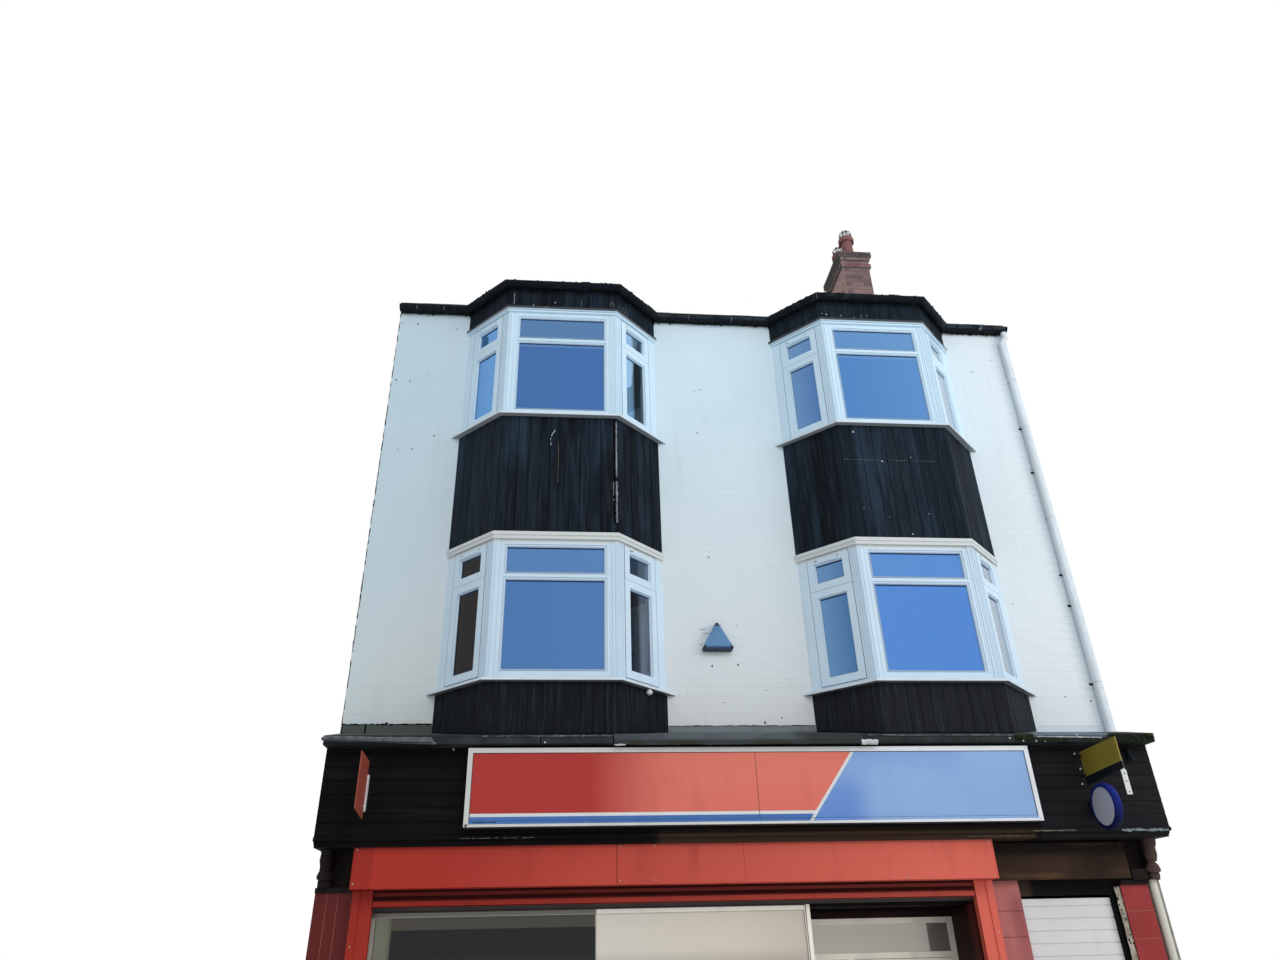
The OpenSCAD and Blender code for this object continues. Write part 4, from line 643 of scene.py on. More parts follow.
def dressChimney():
    # Bricks round the shaft, the band and the cap, on the solids that the frame gives
    low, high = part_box("chimney_stack")
    over, capHeight, bandHeight = 0.06, 0.11, 0.09
    shape = Shape()
    bandTop = high.z - capHeight - 0.15
    tiers = [(0.0, walls["eaves"] + 0.14 + 1.9, high.z - capHeight * 1.6), (over, high.z - capHeight, high.z),
             (over / 2, high.z - capHeight * 1.6, high.z - capHeight), (over / 2, bandTop - bandHeight, bandTop)]
    for index, (out, foot, top) in enumerate(tiers):
        x0, x1 = low.x + over - out, high.x - over + out
        y0, y1 = low.y + over - out, high.y - over + out
        for x, y, across, length in ((x0, y0, right, x1 - x0), (x1, y0, inward, y1 - y0),
                                     (x1, y1, -right, x1 - x0), (x0, y1, -inward, y1 - y0)):
            layBricks(shape, onPlane(Vector((x, y, 0)), across, up), (0, foot, length, top), seed=30 + index,
                      kind="chimney", startShift=0.12)
    shape.piece("chimney_bricks", "chimney_brick", "stack_brick")


dressFront()
dressParty("left_party_bricks", -1)
dressParty("right_party_bricks", 1)
dressRear()
dressChimney()
print("brickwork laid")


# Marks on the front wall: nail holes, chips, cracks and the uneven dark line down its left edge

wallMarks = {
    "holes": ((-3.797, 8.853), (-3.607, 8.847), (-3.136, 8.792), (-3.429, 8.110), (-3.613, 8.003), (-3.774, 8.011),
              (-0.199, 8.002), (-0.272, 7.985), (-0.268, 7.393), (-3.269, 7.260), (-3.652, 7.078), (-3.499, 7.082),
              (-0.265, 4.617), (-0.262, 4.628), (0.002, 4.639), (-0.226, 5.818), (-0.168, 4.256), (0.266, 4.376),
              (0.398, 4.106), (3.551, 8.596), (3.267, 8.405), (3.062, 5.320), (3.381, 4.313), (3.650, 4.272)),
    "scrapes": ((-0.365, -0.310, 5.010), (-0.340, -0.254, 4.963), (-0.130, -0.112, 4.968), (0.015, 0.026, 5.054)),
    "redSpecks": ((-0.147, 5.054), (-0.100, 4.985), (-0.361, 4.846), (-0.209, 4.745)),
    "holeSize": (0.007, 0.014), "edgeX": -3.824, "edgeZ": (4.05, 8.95), "edgeWidth": 0.007,
    "crackX": 0.742, "cracks": ((4.42, 4.70), (4.72, 5.34), (7.40, 8.20))}


def markWall():
    rng = random.Random(71)
    m, place = wallMarks, frontPlane(0)
    shape, specks = Shape(), Shape()
    for x, z in m["holes"]:
        size = rng.uniform(*m["holeSize"])
        shape.tile([(x + size * rng.uniform(0.6, 1.2) * math.cos(a), z + size * rng.uniform(0.6, 1.2) * math.sin(a))
                    for a in (0.2, 1.2, 2.3, 3.4, 4.5, 5.5)], place, 0.0030, 0.001)
    z = m["edgeZ"][0]
    while z < m["edgeZ"][1]:
        length = rng.uniform(0.05, 0.35)
        shape.strip(place, (m["edgeX"], z), (m["edgeX"], z + length), max(3, int(length / 0.03)), m["edgeWidth"],
                    0.0028, rng, 0.004)
        z += length + rng.uniform(0.0, 0.10)
    shape.strips(place, [(m["crackX"], foot, m["crackX"], head, 20, 0.003, 0.0026, 0.001)
                         for foot, head in m["cracks"]], rng)
    shape.strips(place, [(x0, z, x1, z + 0.001, 7, 0.0045, 0.0026, 0.0015) for x0, x1, z in m["scrapes"]], rng)
    shape.piece("wall_marks", "white_brick", "dark_steel")
    for x, z in m["redSpecks"]:
        specks.flake(place, x, z, 0.009, rng)
    specks.piece("red_paint_specks", "white_brick", "old_red_paint")


markWall()
print("wall marked")


# Roof: slates in half bond on both slopes, joints of the ridge, flaunching and wire guards on the chimney

slates = {"width": 0.255, "gauge": 0.21, "thickness": 0.007, "gap": 0.004, "overhang": 0.05}
chimneyTop = {"flaunching": 0.085, "potX": 3.515, "potY": (3.55, 3.99), "potTop": 14.13, "potRadius": 0.13,
              "guardHeight": 0.21, "wire": 0.010, "wires": 8, "flashing": 0.13}


def laySlates(name, side, seed):
    rng = random.Random(seed)
    shape = Shape()
    width, gauge, gap, overhang = (slates[key] for key in ("width", "gauge", "gap", "overhang"))
    pitch = math.radians(walls["pitch"])
    place = onPlane(Vector((-side * walls["half"], -overhang if side > 0 else walls["depth"] + overhang,
                            walls["eaves"] + 0.12 / math.cos(pitch) - overhang * rise)),
                    right * side, Vector((0, side * math.cos(pitch), math.sin(pitch))))
    slope = (walls["depth"] / 2 + overhang) / math.cos(pitch) - 0.12
    stackLow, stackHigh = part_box("chimney_stack")
    for row in range(int(slope / gauge) + 1):
        low = row * gauge
        left = -width / 2 if row % 2 else 0.0
        while left < 2 * walls["half"]:
            a, b = max(left, 0) + gap / 2, min(left + width, 2 * walls["half"]) - gap / 2
            left += width
            head = min(low + gauge * 1.15, slope + 0.02)
            spot = place((a + b) / 2, (low + head) / 2, 0)
            hidden = (stackLow.x + 0.04 < spot.x < stackHigh.x - 0.04
                      and stackLow.y + 0.03 < spot.y < stackHigh.y - 0.03)
            if b - a < 0.03 or hidden:
                continue
            lift = slates["thickness"] + rng.uniform(0, 0.002)
            outline = rectangle(a, low + rng.uniform(-0.004, 0.004), b, head)
            lifts = (0.0, 0.0, 0.001, 0.001, lift * 2, lift * 2, lift, lift)
            shape.add([place(u, v, w) for (u, v), w in zip(outline * 2, lifts)], quads(2, 4) + [[4, 5, 6, 7]],
                      rng.random())
    shape.piece(name, "slate", "laid_slates")


def dressRidge():
    # A raised collar at each joint of the ridge, bedded in mortar
    low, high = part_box("ridge_tiles")
    half = (high.y - low.y) / 2 + 0.003
    shape = Shape()
    section = [(4 - half, low.z + 0.010), (4 - half, low.z + 0.026), (4, high.z + 0.010), (4 + half, low.z + 0.026),
               (4 + half, low.z + 0.010), (4, high.z - 0.006)]
    x = low.x + 0.45
    while x < high.x - 0.1:
        shape.add([Vector((end, y, z)) for end in (x - 0.022, x + 0.022) for y, z in section],
                  quads(2, 6) + [[0, 5, 2, 1], [2, 5, 4, 3], [6, 7, 8, 11], [8, 9, 10, 11]])
        x += 0.45
    shape.piece("ridge_collars", "ridge_clay")


def topChimney():
    c = chimneyTop
    low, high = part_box("chimney_stack")
    flaunching, rims, guards, lead = (Shape() for _ in range(4))
    flaunching.add([Vector((x, y, high.z + lift))
                    for inset, lift in ((0.01, -0.002), (0.03, 0.02), (0.17, c["flaunching"]))
                    for x, y in rectangle(low.x + inset, low.y + inset, high.x - inset, high.y - inset)],
                   quads(3, 4) + [[8, 9, 10, 11]])
    flaunching.piece("flaunching", "chimney_brick", "concrete")

    r, wire = c["potRadius"], c["wire"] / 2
    for y in c["potY"]:
        middle = Vector((c["potX"], y, c["potTop"]))
        rims.lathe(middle, up, [(-0.10, r), (-0.09, r + 0.014), (-0.02, r + 0.018), (0.004, r + 0.006),
                                (0.004, r - 0.03)], 28)
        for step in range(c["wires"]):
            angle = 2 * math.pi * step / c["wires"]
            spoke = Vector((math.cos(angle), math.sin(angle), 0))
            path = [middle + spoke * reach + up * lift for reach, lift in (
                (0.125, -0.04), (0.118, 0.06), (0.112, c["guardHeight"] * 0.62), (0.085, c["guardHeight"] * 0.88),
                (0.015, c["guardHeight"]))]
            side = spoke.cross(up) * wire
            for a, b in zip(path, path[1:]):
                thick = (b - a).cross(side).normalized() * wire
                guards.add([end + side * s + thick * t for end in (a, b) for s, t in rectangle(-1, -1, 1, 1)],
                           quads(2, 4))
        for lift, radius in ((0.03, 0.121), (c["guardHeight"] * 0.62, 0.113)):
            guards.lathe(middle + up * lift, up, [(-wire, radius), (0, radius + wire), (wire, radius),
                                                  (0, radius - wire), (-wire, radius)], 24)
    rims.piece("pot_rims", "pot_clay")
    guards.piece("pot_guards", "pot_clay", "black_wire")

    # Lead flashing where the stack leaves the slates, in steps up the slope
    x0, y0, x1, y1 = low.x + 0.06, low.y + 0.06, high.x - 0.06, high.y - 0.06
    roofAt = lambda y: walls["eaves"] + 0.14 + min(y, walls["depth"] - y) * rise + 0.02
    for x, across, start in ((x0, -inward, y1), (x1, inward, y0)):
        place = onPlane(Vector((x, start, 0)), across, up)
        for step in range(6):
            u0, u1 = step * 0.147, step * 0.147 + 0.145
            foot = min(roofAt(start + across.y * u0), roofAt(start + across.y * u1)) - 0.05
            head = roofAt(start + across.y * (u0 + u1) / 2) + c["flashing"]
            lead.tile(rectangle(u0, foot, u1, head), place, 0.012, 0.001)
    for y, across, start in ((y0, right, x0), (y1, -right, x1)):
        lead.tile(rectangle(-0.01, roofAt(y) - 0.05, 0.52, roofAt(y) + c["flashing"]),
                  onPlane(Vector((start, y, 0)), across, up), 0.014, 0.002)
    lead.piece("chimney_flashing", "lead", "grey_lead_hood")


laySlates("front_slates", 1, 51)
laySlates("rear_slates", -1, 52)
dressRidge()
topChimney()
print("roof covered")


# Bays: vertical boards on the aprons and the head bands, with what has split, peeled and been scratched

bay = {
    "middles": (-1.858, 1.858), "frontHalf": 0.623, "wallHalf": 1.125, "out": 0.502,
    "bands": ((3.84, 4.32), (5.845, 7.231), (8.756, 9.03)), "boardWidths": (0.10, 0.145),
    "gap": 0.0035, "depth": 0.006, "edge": 0.0025, "cappingTop": 3.965, "cappingFall": 0.25}
# Where the left bay's middle apron has its joints, along its front and its right face
leftMiddleJoints = {1: (0.097, 0.194, 0.312, 0.422, 0.532, 0.625, 0.743, 0.853, 0.954, 1.072, 1.18),
                    2: (0.11, 0.217, 0.33, 0.44, 0.556)}


def bayFaces(middle, shift=Vector((0, 0, 0))):
    # The plane, moved by shift, and the length of a bay's left, front and right faces
    corners = [(-bay["wallHalf"], 0), (-bay["frontHalf"], -bay["out"]),
               (bay["frontHalf"], -bay["out"]), (bay["wallHalf"], 0)]
    for (x0, y0), (x1, y1) in zip(corners, corners[1:]):
        start, end = Vector((middle + x0, y0, 0)), Vector((middle + x1, y1, 0))
        yield onPlane(start + shift, (end - start).normalized(), up), (end - start).length


def boardFace(shape, place, length, foot, head, rng, onCapping, joints=None):
    # Boards along one face, with joints where they are given or at random widths
    if joints is None:
        joints = []
        while not joints or length - joints[-1] > bay["boardWidths"][0] * 1.4:
            joints.append((joints[-1] if joints else 0.0) + rng.uniform(*bay["boardWidths"]))
    edges = [0.0, *joints, length]
    for left, after in zip(edges, edges[1:]):
        a = left + (bay["gap"] / 2 if left > 0 else 0)
        b = after - (bay["gap"] / 2 if after < length else 0)
        lows = [bay["cappingTop"] + place(u, 0, 0).y * bay["cappingFall"] + 0.006 if onCapping else foot
                for u in (a, b)]
        ragged = rng.uniform(0, 0.006)
        shape.tile([(a, lows[0] + ragged), (b, lows[1] + ragged), (b, head), (a, head)], place,
                   bay["depth"] + rng.uniform(-0.0015, 0.0015), bay["edge"], rng.random())


def boardBays():
    for name, middle, seed in zip(("left", "right"), bay["middles"], (61, 62)):
        rng = random.Random(seed)
        for band, (foot, head) in zip(("lower", "middle", "head"), bay["bands"]):
            shape = Shape()
            for index, (place, length) in enumerate(bayFaces(middle)):
                joints = leftMiddleJoints.get(index) if (name, band) == ("left", "middle") else None
                boardFace(shape, place, length, foot, head, rng, band == "lower", joints)
            shape.piece(f"{name}_bay_{band}_boards", "black_board", "boards")


def eavesBoards():
    # The dark board right under each bay's gutter, its ends cut to the wall
    shape = Shape()
    for middle in bay["middles"]:
        for place, length in bayFaces(middle):
            shape.tile(rectangle(-0.004, 8.962, length + 0.004, 9.050), place, 0.014, 0.002, 0.2)
    shape.piece("bay_eaves_boards", "black_board", "boards")


# Rows of strips give x0, z0, x1, z1, steps, width, depth and how ragged; flakes give x, z and size
bayWear = {
    "gaps": ((-1.266, 5.955, -1.264, 7.205, 46, 0.024, 0.0090, 0.005),
             (-2.287, 5.90, -2.287, 6.75, 24, 0.006, 0.0075, 0.002),
             (-1.738, 6.45, -1.738, 7.20, 20, 0.005, 0.0075, 0.001), (-1.409, 5.86, -1.409, 7.22, 20, 0.006, 0.0075),
             (-1.238, 5.86, -1.238, 5.98, 4, 0.006, 0.0075)),
    "cantGaps": ((0.556, 5.86, 0.556, 7.16, 26, 0.013, 0.0085, 0.002), (0.217, 5.9, 0.217, 6.9, 10, 0.004, 0.0075)),
    "split": ((-1.243, 5.965, -1.243, 6.445, 24, 0.018, 0.0088, 0.005, 0.8),
              (-1.243, 6.50, -1.243, 7.185, 32, 0.015, 0.0088, 0.004, 0.8),
              (-1.276, 6.27, -1.275, 6.44, 12, 0.007, 0.0102, 0.002, 1.0)),
    "flakes": ((-1.277, 6.367, 0.008), (-1.273, 6.226, 0.007), (1.402, 7.145, 0.013), (1.674, 6.770, 0.012),
               (2.007, 6.828, 0.006), (2.086, 6.136, 0.006), (1.865, 5.894, 0.009), (1.648, 6.092, 0.005),
               (1.384, 6.189, 0.005), (-2.200, 8.781, 0.008), (-1.950, 8.823, 0.007), (-2.43, 8.80, 0.006)),
    "whiteScratches": ((-1.942, 6.985, -1.902, 7.065, 8, 0.006, 0.0018, 0.002),
                       (-1.950, 6.930, -1.944, 6.960, 4, 0.004, 0.0018, 0.001),
                       (-1.945, 6.870, -1.940, 6.905, 4, 0.006, 0.0018, 0.002),
                       (-2.425, 8.80, -2.427, 8.955, 12, 0.0035, 0.0018, 0.0015)),
    "headSpecks": ((-1.947, 8.828, 0.009), (1.262, 8.825, 0.006), (1.313, 8.815, 0.010), (1.494, 8.802, 0.009),
                   (1.655, 8.780, 0.006), (1.737, 8.800, 0.007), (1.815, 8.818, 0.005)),
    "cantScratches": ((0.06, 8.80, 8.87), (0.09, 8.77, 8.84), (0.125, 8.79, 8.88), (0.150, 8.76, 8.83),
                      (0.178, 8.80, 8.90), (0.205, 8.77, 8.86)),
    "headDrips": ((-2.200, 8.762, 8.800), (-1.640, 8.792, 8.872), (-1.300, 8.80, 8.86), (-1.276, 8.83, 8.88),
                  (-1.256, 8.78, 8.86)),
    "rubbedSpans": ((1.24, 1.66), (1.76, 1.96), (2.03, 2.28))}


def wearBays():
    # The split corner board, open joints, scratches, drips and specks of old paint
    rng = random.Random(83)
    w = bayWear
    gaps, bare, flakes, faint, worn, peeled = (Shape() for _ in range(6))
    (wallCant, wallLength), _, (leftCant, _) = bayFaces(bay["middles"][0])
    *_, (cantSkin, _) = bayFaces(bay["middles"][0], -inward * 0.006)
    front, scratch, speck = (frontPlane(-bay["out"] - out) for out in (0.0, 0.006, 0.0065))

    gaps.strips(front, w["gaps"], rng)
    gaps.strips(leftCant, w["cantGaps"], rng)
    gaps.piece("open_joints", "black_board", "black_split")
    bare.strips(front, w["split"], rng)
    bare.piece("split_corner_board", "black_board", "bare_split_timber")
    for x, z, size in w["flakes"]:
        flakes.flake(speck, x, z, size, rng)
    flakes.strips(scratch, w["whiteScratches"], rng)
    for x, z, size in w["headSpecks"]:
        flakes.flake(speck, x, z, size, rng)
    faint.strips(cantSkin, [(u, foot, u + 0.004, head, 5, 0.0035, 0.0018, 0.0012)
                            for u, foot, head in w["cantScratches"]], rng)
    faint.strips(scratch, [(x, foot, x, head, 5, 0.0045, 0.0018, 0.001) for x, foot, head in w["headDrips"]], rng)
    flakes.piece("paint_flecks", "black_board", "white_flakes")
    faint.piece("faint_scratches", "black_board", "lime_crust")
    worn.strips(scratch, [(-1.857, 6.42, -1.861, 6.93, 20, 0.0035, 0.0016, 0.001),
                          *((x0, 6.787, x1, 6.781, 12, 0.004, 0.0014, 0.0012) for x0, x1 in w["rubbedSpans"])], rng)
    worn.piece("rubbed_lines", "black_board", "worn_moulding_paint_and_shade")

    for step in range(22):
        peeled.flake(leftCant, 0.690 + rng.uniform(-0.012, 0.014), 5.86 + step * 0.040,
                     rng.uniform(0.010, 0.022), rng)
    for place, u, v, size in ((leftCant, 0.551, 7.221, 0.012), (leftCant, 0.548, 7.215, 0.012),
                              (wallCant, wallLength - 0.529, 7.222, 0.013), (front, -2.039, 7.226, 0.012)):
        peeled.flake(place, u, v, size, rng)
    peeled.piece("peeled_red_paint", "black_board", "old_red_paint")


boardBays()
eavesBoards()
wearBays()
print("bays boarded")


# Windows: beads and gaskets round every pane, the shadow line round the sashes, the dome under a sill

glazing = {
    "sills": (4.360, 7.271), "frontHalf": 0.495, "frontPanes": ((0.072, 0.987), (1.049, 1.339)),
    "cantSpan": (0.180, 0.513), "cantPanes": ((0.103, 0.947), (1.103, 1.317)), "sashBar": 0.068, "sashLap": 0.008,
    "bead": ((0.0, -0.013), (0.003, -0.0125), (0.011, -0.026), (0.011, -0.0305)),
    "sashEdge": ((-0.0035, -0.0118), (-0.0035, -0.0100), (0.0005, -0.0060), (0.0005, -0.0118)),
    "seal": ((0.011, -0.0285), (0.0155, -0.0285), (0.0155, -0.0305)), "headShade": 0.015,
    "frontRibs": (0.008, 0.031, 0.053, 0.080), "cantRibs": (0.012, 0.042, 0.072, 0.100), "ribWidth": 0.0042,
    "windowHead": 1.409, "vent": (0.010, 0.040, 1.322, 1.350), "domeAt": (-0.931, -0.243, 4.316)}


def glazeBays():
    g = glazing
    beads, seals, edges, heads, ribs, vents, ventShadows = (Shape() for _ in range(7))
    reach = g["sashBar"] + g["sashLap"]
    for middle in bay["middles"]:
        for sill in g["sills"]:
            for index, (place, length) in enumerate(bayFaces(middle, up * sill)):
                front = index == 1
                if front:
                    s0, s1, panes = length / 2 - g["frontHalf"], length / 2 + g["frontHalf"], g["frontPanes"]
                else:
                    s0, s1 = g["cantSpan"] if index else (length - g["cantSpan"][1], length - g["cantSpan"][0])
                    panes = g["cantPanes"]
                    u0, u1, foot, head = s0 + g["vent"][0], s1 - g["vent"][1], *g["vent"][2:]
                    vents.tile(rectangle(u0, foot, u1, head), lambda u, v, w: place(u, v, w - 0.006), 0.013, 0.003)
                    # A painted shadow line just above each vent
                    ventShadows.strip(place, (u0, head + 0.006), (u1, head + 0.006), 2, 0.010, 0.002, back=0.007)
                for end in ((length,), (0.0, length), (0.0,))[index]:
                    for inset in g["frontRibs" if front else "cantRibs"]:
                        u = inset if end == 0.0 else length - inset
                        out = -0.0045 if inset < (0.05 if front else 0.085) else -0.0125
                        ribs.strip(lambda a, b, w: place(a, b, w + out), (u, 0.002), (u, g["windowHead"] - 0.002), 2,
                                   g["ribWidth"], 0.003)
                for low, high in panes:
                    beads.ring(place, (s0, low, s1, high), g["bead"])
                    seals.ring(place, (s0, low, s1, high), g["seal"])
                    # A painted shadow on the glass under each pane's head
                    v = high - 0.011 - g["headShade"] / 2
                    heads.strip(place, (s0 + 0.011, v), (s1 - 0.011, v), 2, g["headShade"], -0.0275, back=0.0305)
                    if not front:
                        edges.ring(place, (s0 - reach, low - reach, s1 + reach, high + reach), g["sashEdge"])
    beads.piece("glazing_beads", "white_frame")
    seals.piece("glazing_gaskets", "white_frame", "pale_gasket")
    edges.piece("sash_shadow_lines", "white_frame", "sash_shade")
    heads.piece("pane_head_shadows", "white_frame", "head_shadow_paint")
    ribs.piece("post_ribs", "white_frame", "frame_grooves")
    vents.piece("trickle_vents", "white_frame")
    ventShadows.piece("trickle_vent_shadow_lines", "white_frame", "worn_moulding_paint_and_shade")


def hangDome():
    shape = Shape()
    shape.lathe(Vector(glazing["domeAt"]), -up, [(-0.006, 0.016), (0.010, 0.018), (0.014, 0.030), (0.030, 0.031),
                                                 (0.043, 0.024), (0.050, 0.012), (0.052, 0.0001)], 24)
    shape.piece("sensor_dome", "white_frame", "sign_white")


def glazeRear():
    # The rear windows' gaskets, and the planks, latch and hinges of the rear door
    width, height = walls["rearWindow"]
    bar, middle = 0.06, walls["bayMiddle"]
    seals, planks, iron = Shape(), Shape(), Shape()
    for side in (-1, 1):
        for sill in walls["rearSills"]:
            if side > 0 and sill < 2:
                continue
            place = onPlane(Vector((side * middle, 7.814, sill)), -right, up)
            for u0, u1 in ((-width / 2 + bar, -bar / 2), (bar / 2, width / 2 - bar)):
                seals.ring(place, (u0, bar, u1, height - bar), ((0.0, 0.004), (0.007, 0.004), (0.007, -0.001)))
    seals.piece("rear_gaskets", "white_frame", "dark_gasket")
    doorWidth, doorFoot, doorHead = walls["rearDoor"]
    place = onPlane(Vector((middle, 7.824, 0)), -right, up)
    plank = (doorWidth - 2 * bar) / 6
    for step in range(6):
        u0 = -doorWidth / 2 + bar + step * plank
        planks.tile(rectangle(u0 + 0.002, doorFoot + 0.01, u0 + plank - 0.002, doorHead - bar - 0.01), place,
                    0.010, 0.004)
    planks.piece("rear_door_planks", "white_frame")
    iron.strips(place, [(-0.41, z, 0.05, z, 4, 0.035, 0.014) for z in (0.45, 1.85)])
    iron.tile(rectangle(0.33, 1.02, 0.37, 1.20), place, 0.018, 0.002)
    iron.box((middle - 0.36, 7.838, 1.09), (middle - 0.25, 7.856, 1.11))
    iron.piece("rear_door_iron", "white_frame", "dark_steel", bevel=0.001)


glazeBays()
hangDome()
glazeRear()
print("windows glazed")


# Gutters and pipes: brackets, unions, moss along the rims and the pipe's sockets

gutter = {"rim": 9.055, "out": 0.063, "radius": 0.060, "strap": 0.024, "union": 0.085, "mossSize": (0.007, 0.020),
          "lime": ((3.164, 0.010, 290, 56), (3.612, 0.011, 286, 60), (3.467, 0.034, 300, 30),
                   (3.480, 0.018, 318, 26), (-0.30, 0.007, 300, 46), (0.24, 0.008, 290, 56),
                   (-3.30, 0.007, 292, 50), (-3.62, 0.008, 300, 40))}
pipe = {"x": 3.730, "y": -0.052, "radius": 0.034, "sockets": (7.56, 6.98, 5.66), "rearY": 8.052,
        "screws": (7.569, 6.959, 5.663, 5.303, 4.445)}


def gutterBand(shape, place, middle, width, lift, start, turn):
    # A curved band round a gutter, standing off it by lift, from an angle on through a turn
    g, steps = gutter, 12
    u0, u1 = middle - width / 2, middle + width / 2
    points = []
    for u, radius in ((u0, g["radius"]), (u0, g["radius"] + lift), (u1, g["radius"] + lift), (u1, g["radius"])):
        for step in range(steps + 1):
            angle = math.radians(start + turn * step / steps)
            points.append(place(u, g["rim"] + radius * math.sin(angle), g["out"] + radius * math.cos(angle)))
    shape.add(points, quads(4, steps + 1, False))


def dressGutters():
    g = gutter
    rng = random.Random(91)
    straps, rimHighlights, lime, moss = (Shape() for _ in range(4))
    inner = walls["bayMiddle"] - walls["bayHalf"]
    front, rear = frontPlane(0), onPlane(Vector((0, walls["depth"], 0)), -right, up)
    runs = [(front, (-3.70, -3.22), (-3.45,)), (front, (-0.48, 0.05, 0.50), (0.06,)), (front, (3.16, 3.62), (3.40,)),
            (rear, (-3.5, -2.6, -1.7, -0.8, 0.1, 1.0, 1.9, 2.8, 3.6), (-1.2, 1.4))]
    lines = [(front, -3.80, -3.0), (front, -inner + 0.03, inner - 0.03), (front, 3.0, 3.80)]
    for middle in bay["middles"]:
        for place, length in bayFaces(middle):
            long = length > 1
            runs.append((place, (0.06, length / 2, length - 0.06) if long else (length / 2,),
                         (length * 0.72,) if long else ()))
            lines.append((place, 0.02, length - 0.02))
    for place, spots, unions in runs:
        for u in spots:
            gutterBand(straps, place, u, g["strap"], 0.004, 176, 188)
        for u in unions:
            gutterBand(straps, place, u, g["union"], 0.0055, 174, 192)
    straps.piece("gutter_brackets", "black_gutter")
    # Painted highlight: a paler band along the upper front of the gutters
    for u0, u1 in ((-inner + 0.02, inner - 0.02), (3.02, 3.80)):
        gutterBand(rimHighlights, front, (u0 + u1) / 2, u1 - u0, 0.0012, 316, 38)
    rimHighlights.piece("gutter_rim_highlights", "black_gutter", "gutter_top_highlight")
    for u, width, start, turn in g["lime"]:
        gutterBand(lime, front, u, width, 0.0022, start, turn)
    lime.piece("gutter_lime", "black_gutter", "lime_crust")
    for place, u0, u1 in lines:
        for side in (-1, 1):
            for _ in range(int((u1 - u0) / 0.035)):
                if rng.random() < 0.72:
                    u = u0 + rng.uniform(0, 1) * (u1 - u0)
                    out = g["out"] + side * (g["radius"] - 0.006) + rng.uniform(-0.006, 0.004)
                    moss.mound(place(u, g["rim"], out), rng.uniform(*g["mossSize"]), rng)
    under = g["rim"] - g["radius"]
    for u0, u1 in ((-3.80, -3.0), (-inner + 0.03, inner - 0.03), (3.0, 3.70)):
        for _ in range(int((u1 - u0) / 0.018)):
            moss.mound(front(rng.uniform(u0, u1), under - rng.uniform(0, 0.012), rng.uniform(0.006, 0.05)),
                       rng.uniform(0.005, 0.016), rng)
    for u in (3.123, 3.580, 3.595, 3.705):
        moss.mound(front(u, under - 0.014, 0.030), 0.018, rng)
    # Ragged drips of moss and dirt under the bays' gutters
    for place, u0, u1 in lines[3:]:
        for _ in range(int((u1 - u0) / 0.030)):
            moss.mound(place(rng.uniform(u0, u1), under - rng.uniform(-0.004, 0.010), rng.uniform(0.02, 0.09)),
                       rng.uniform(0.005, 0.013), rng)
    moss.piece("gutter_moss", "black_gutter", "moss")


def dressPipes():
    sockets, screws = Shape(), Shape()
    r, x = pipe["radius"], pipe["x"]
    for y, heights in ((pipe["y"], pipe["sockets"]), (pipe["rearY"], (8.2, 6.0, 3.8, 1.6))):
        for z in heights:
            sockets.lathe(Vector((x, y, z)), up, [(0.0, r), (0.0, r + 0.005), (0.065, r + 0.006), (0.075, r + 0.003),
                                                  (0.077, r)], 28)
    sockets.piece("pipe_sockets", "white_pipe")
    for z in pipe["screws"]:
        screws.stud(frontPlane(0), x - 0.044, z, 0.011, 0.010)
        screws.tile(rectangle(x - 0.052, z - 0.012, x + 0.02, z + 0.012), frontPlane(0), 0.006, 0.001)
    screws.piece("pipe_clip_screws", "white_pipe", "dark_steel")


dressGutters()
dressPipes()
print("gutters and pipes dressed")


# Lead over the fascia: the pale roll at the left, the grey hood between the bays, plates, upstands and moss

leadwork = {
    "front": -0.548, "roll": (-3.845, -2.888), "rollEnd": -2.858, "rollZ": (3.799, 3.777),
    "rollRadius": (0.021, 0.032), "hood": (-1.29, 0.975), "hoodFoot": 3.737,
    "plates": ((-2.434, -1.948), (-1.940, -1.30)), "plateZ": (3.752, 3.806)}


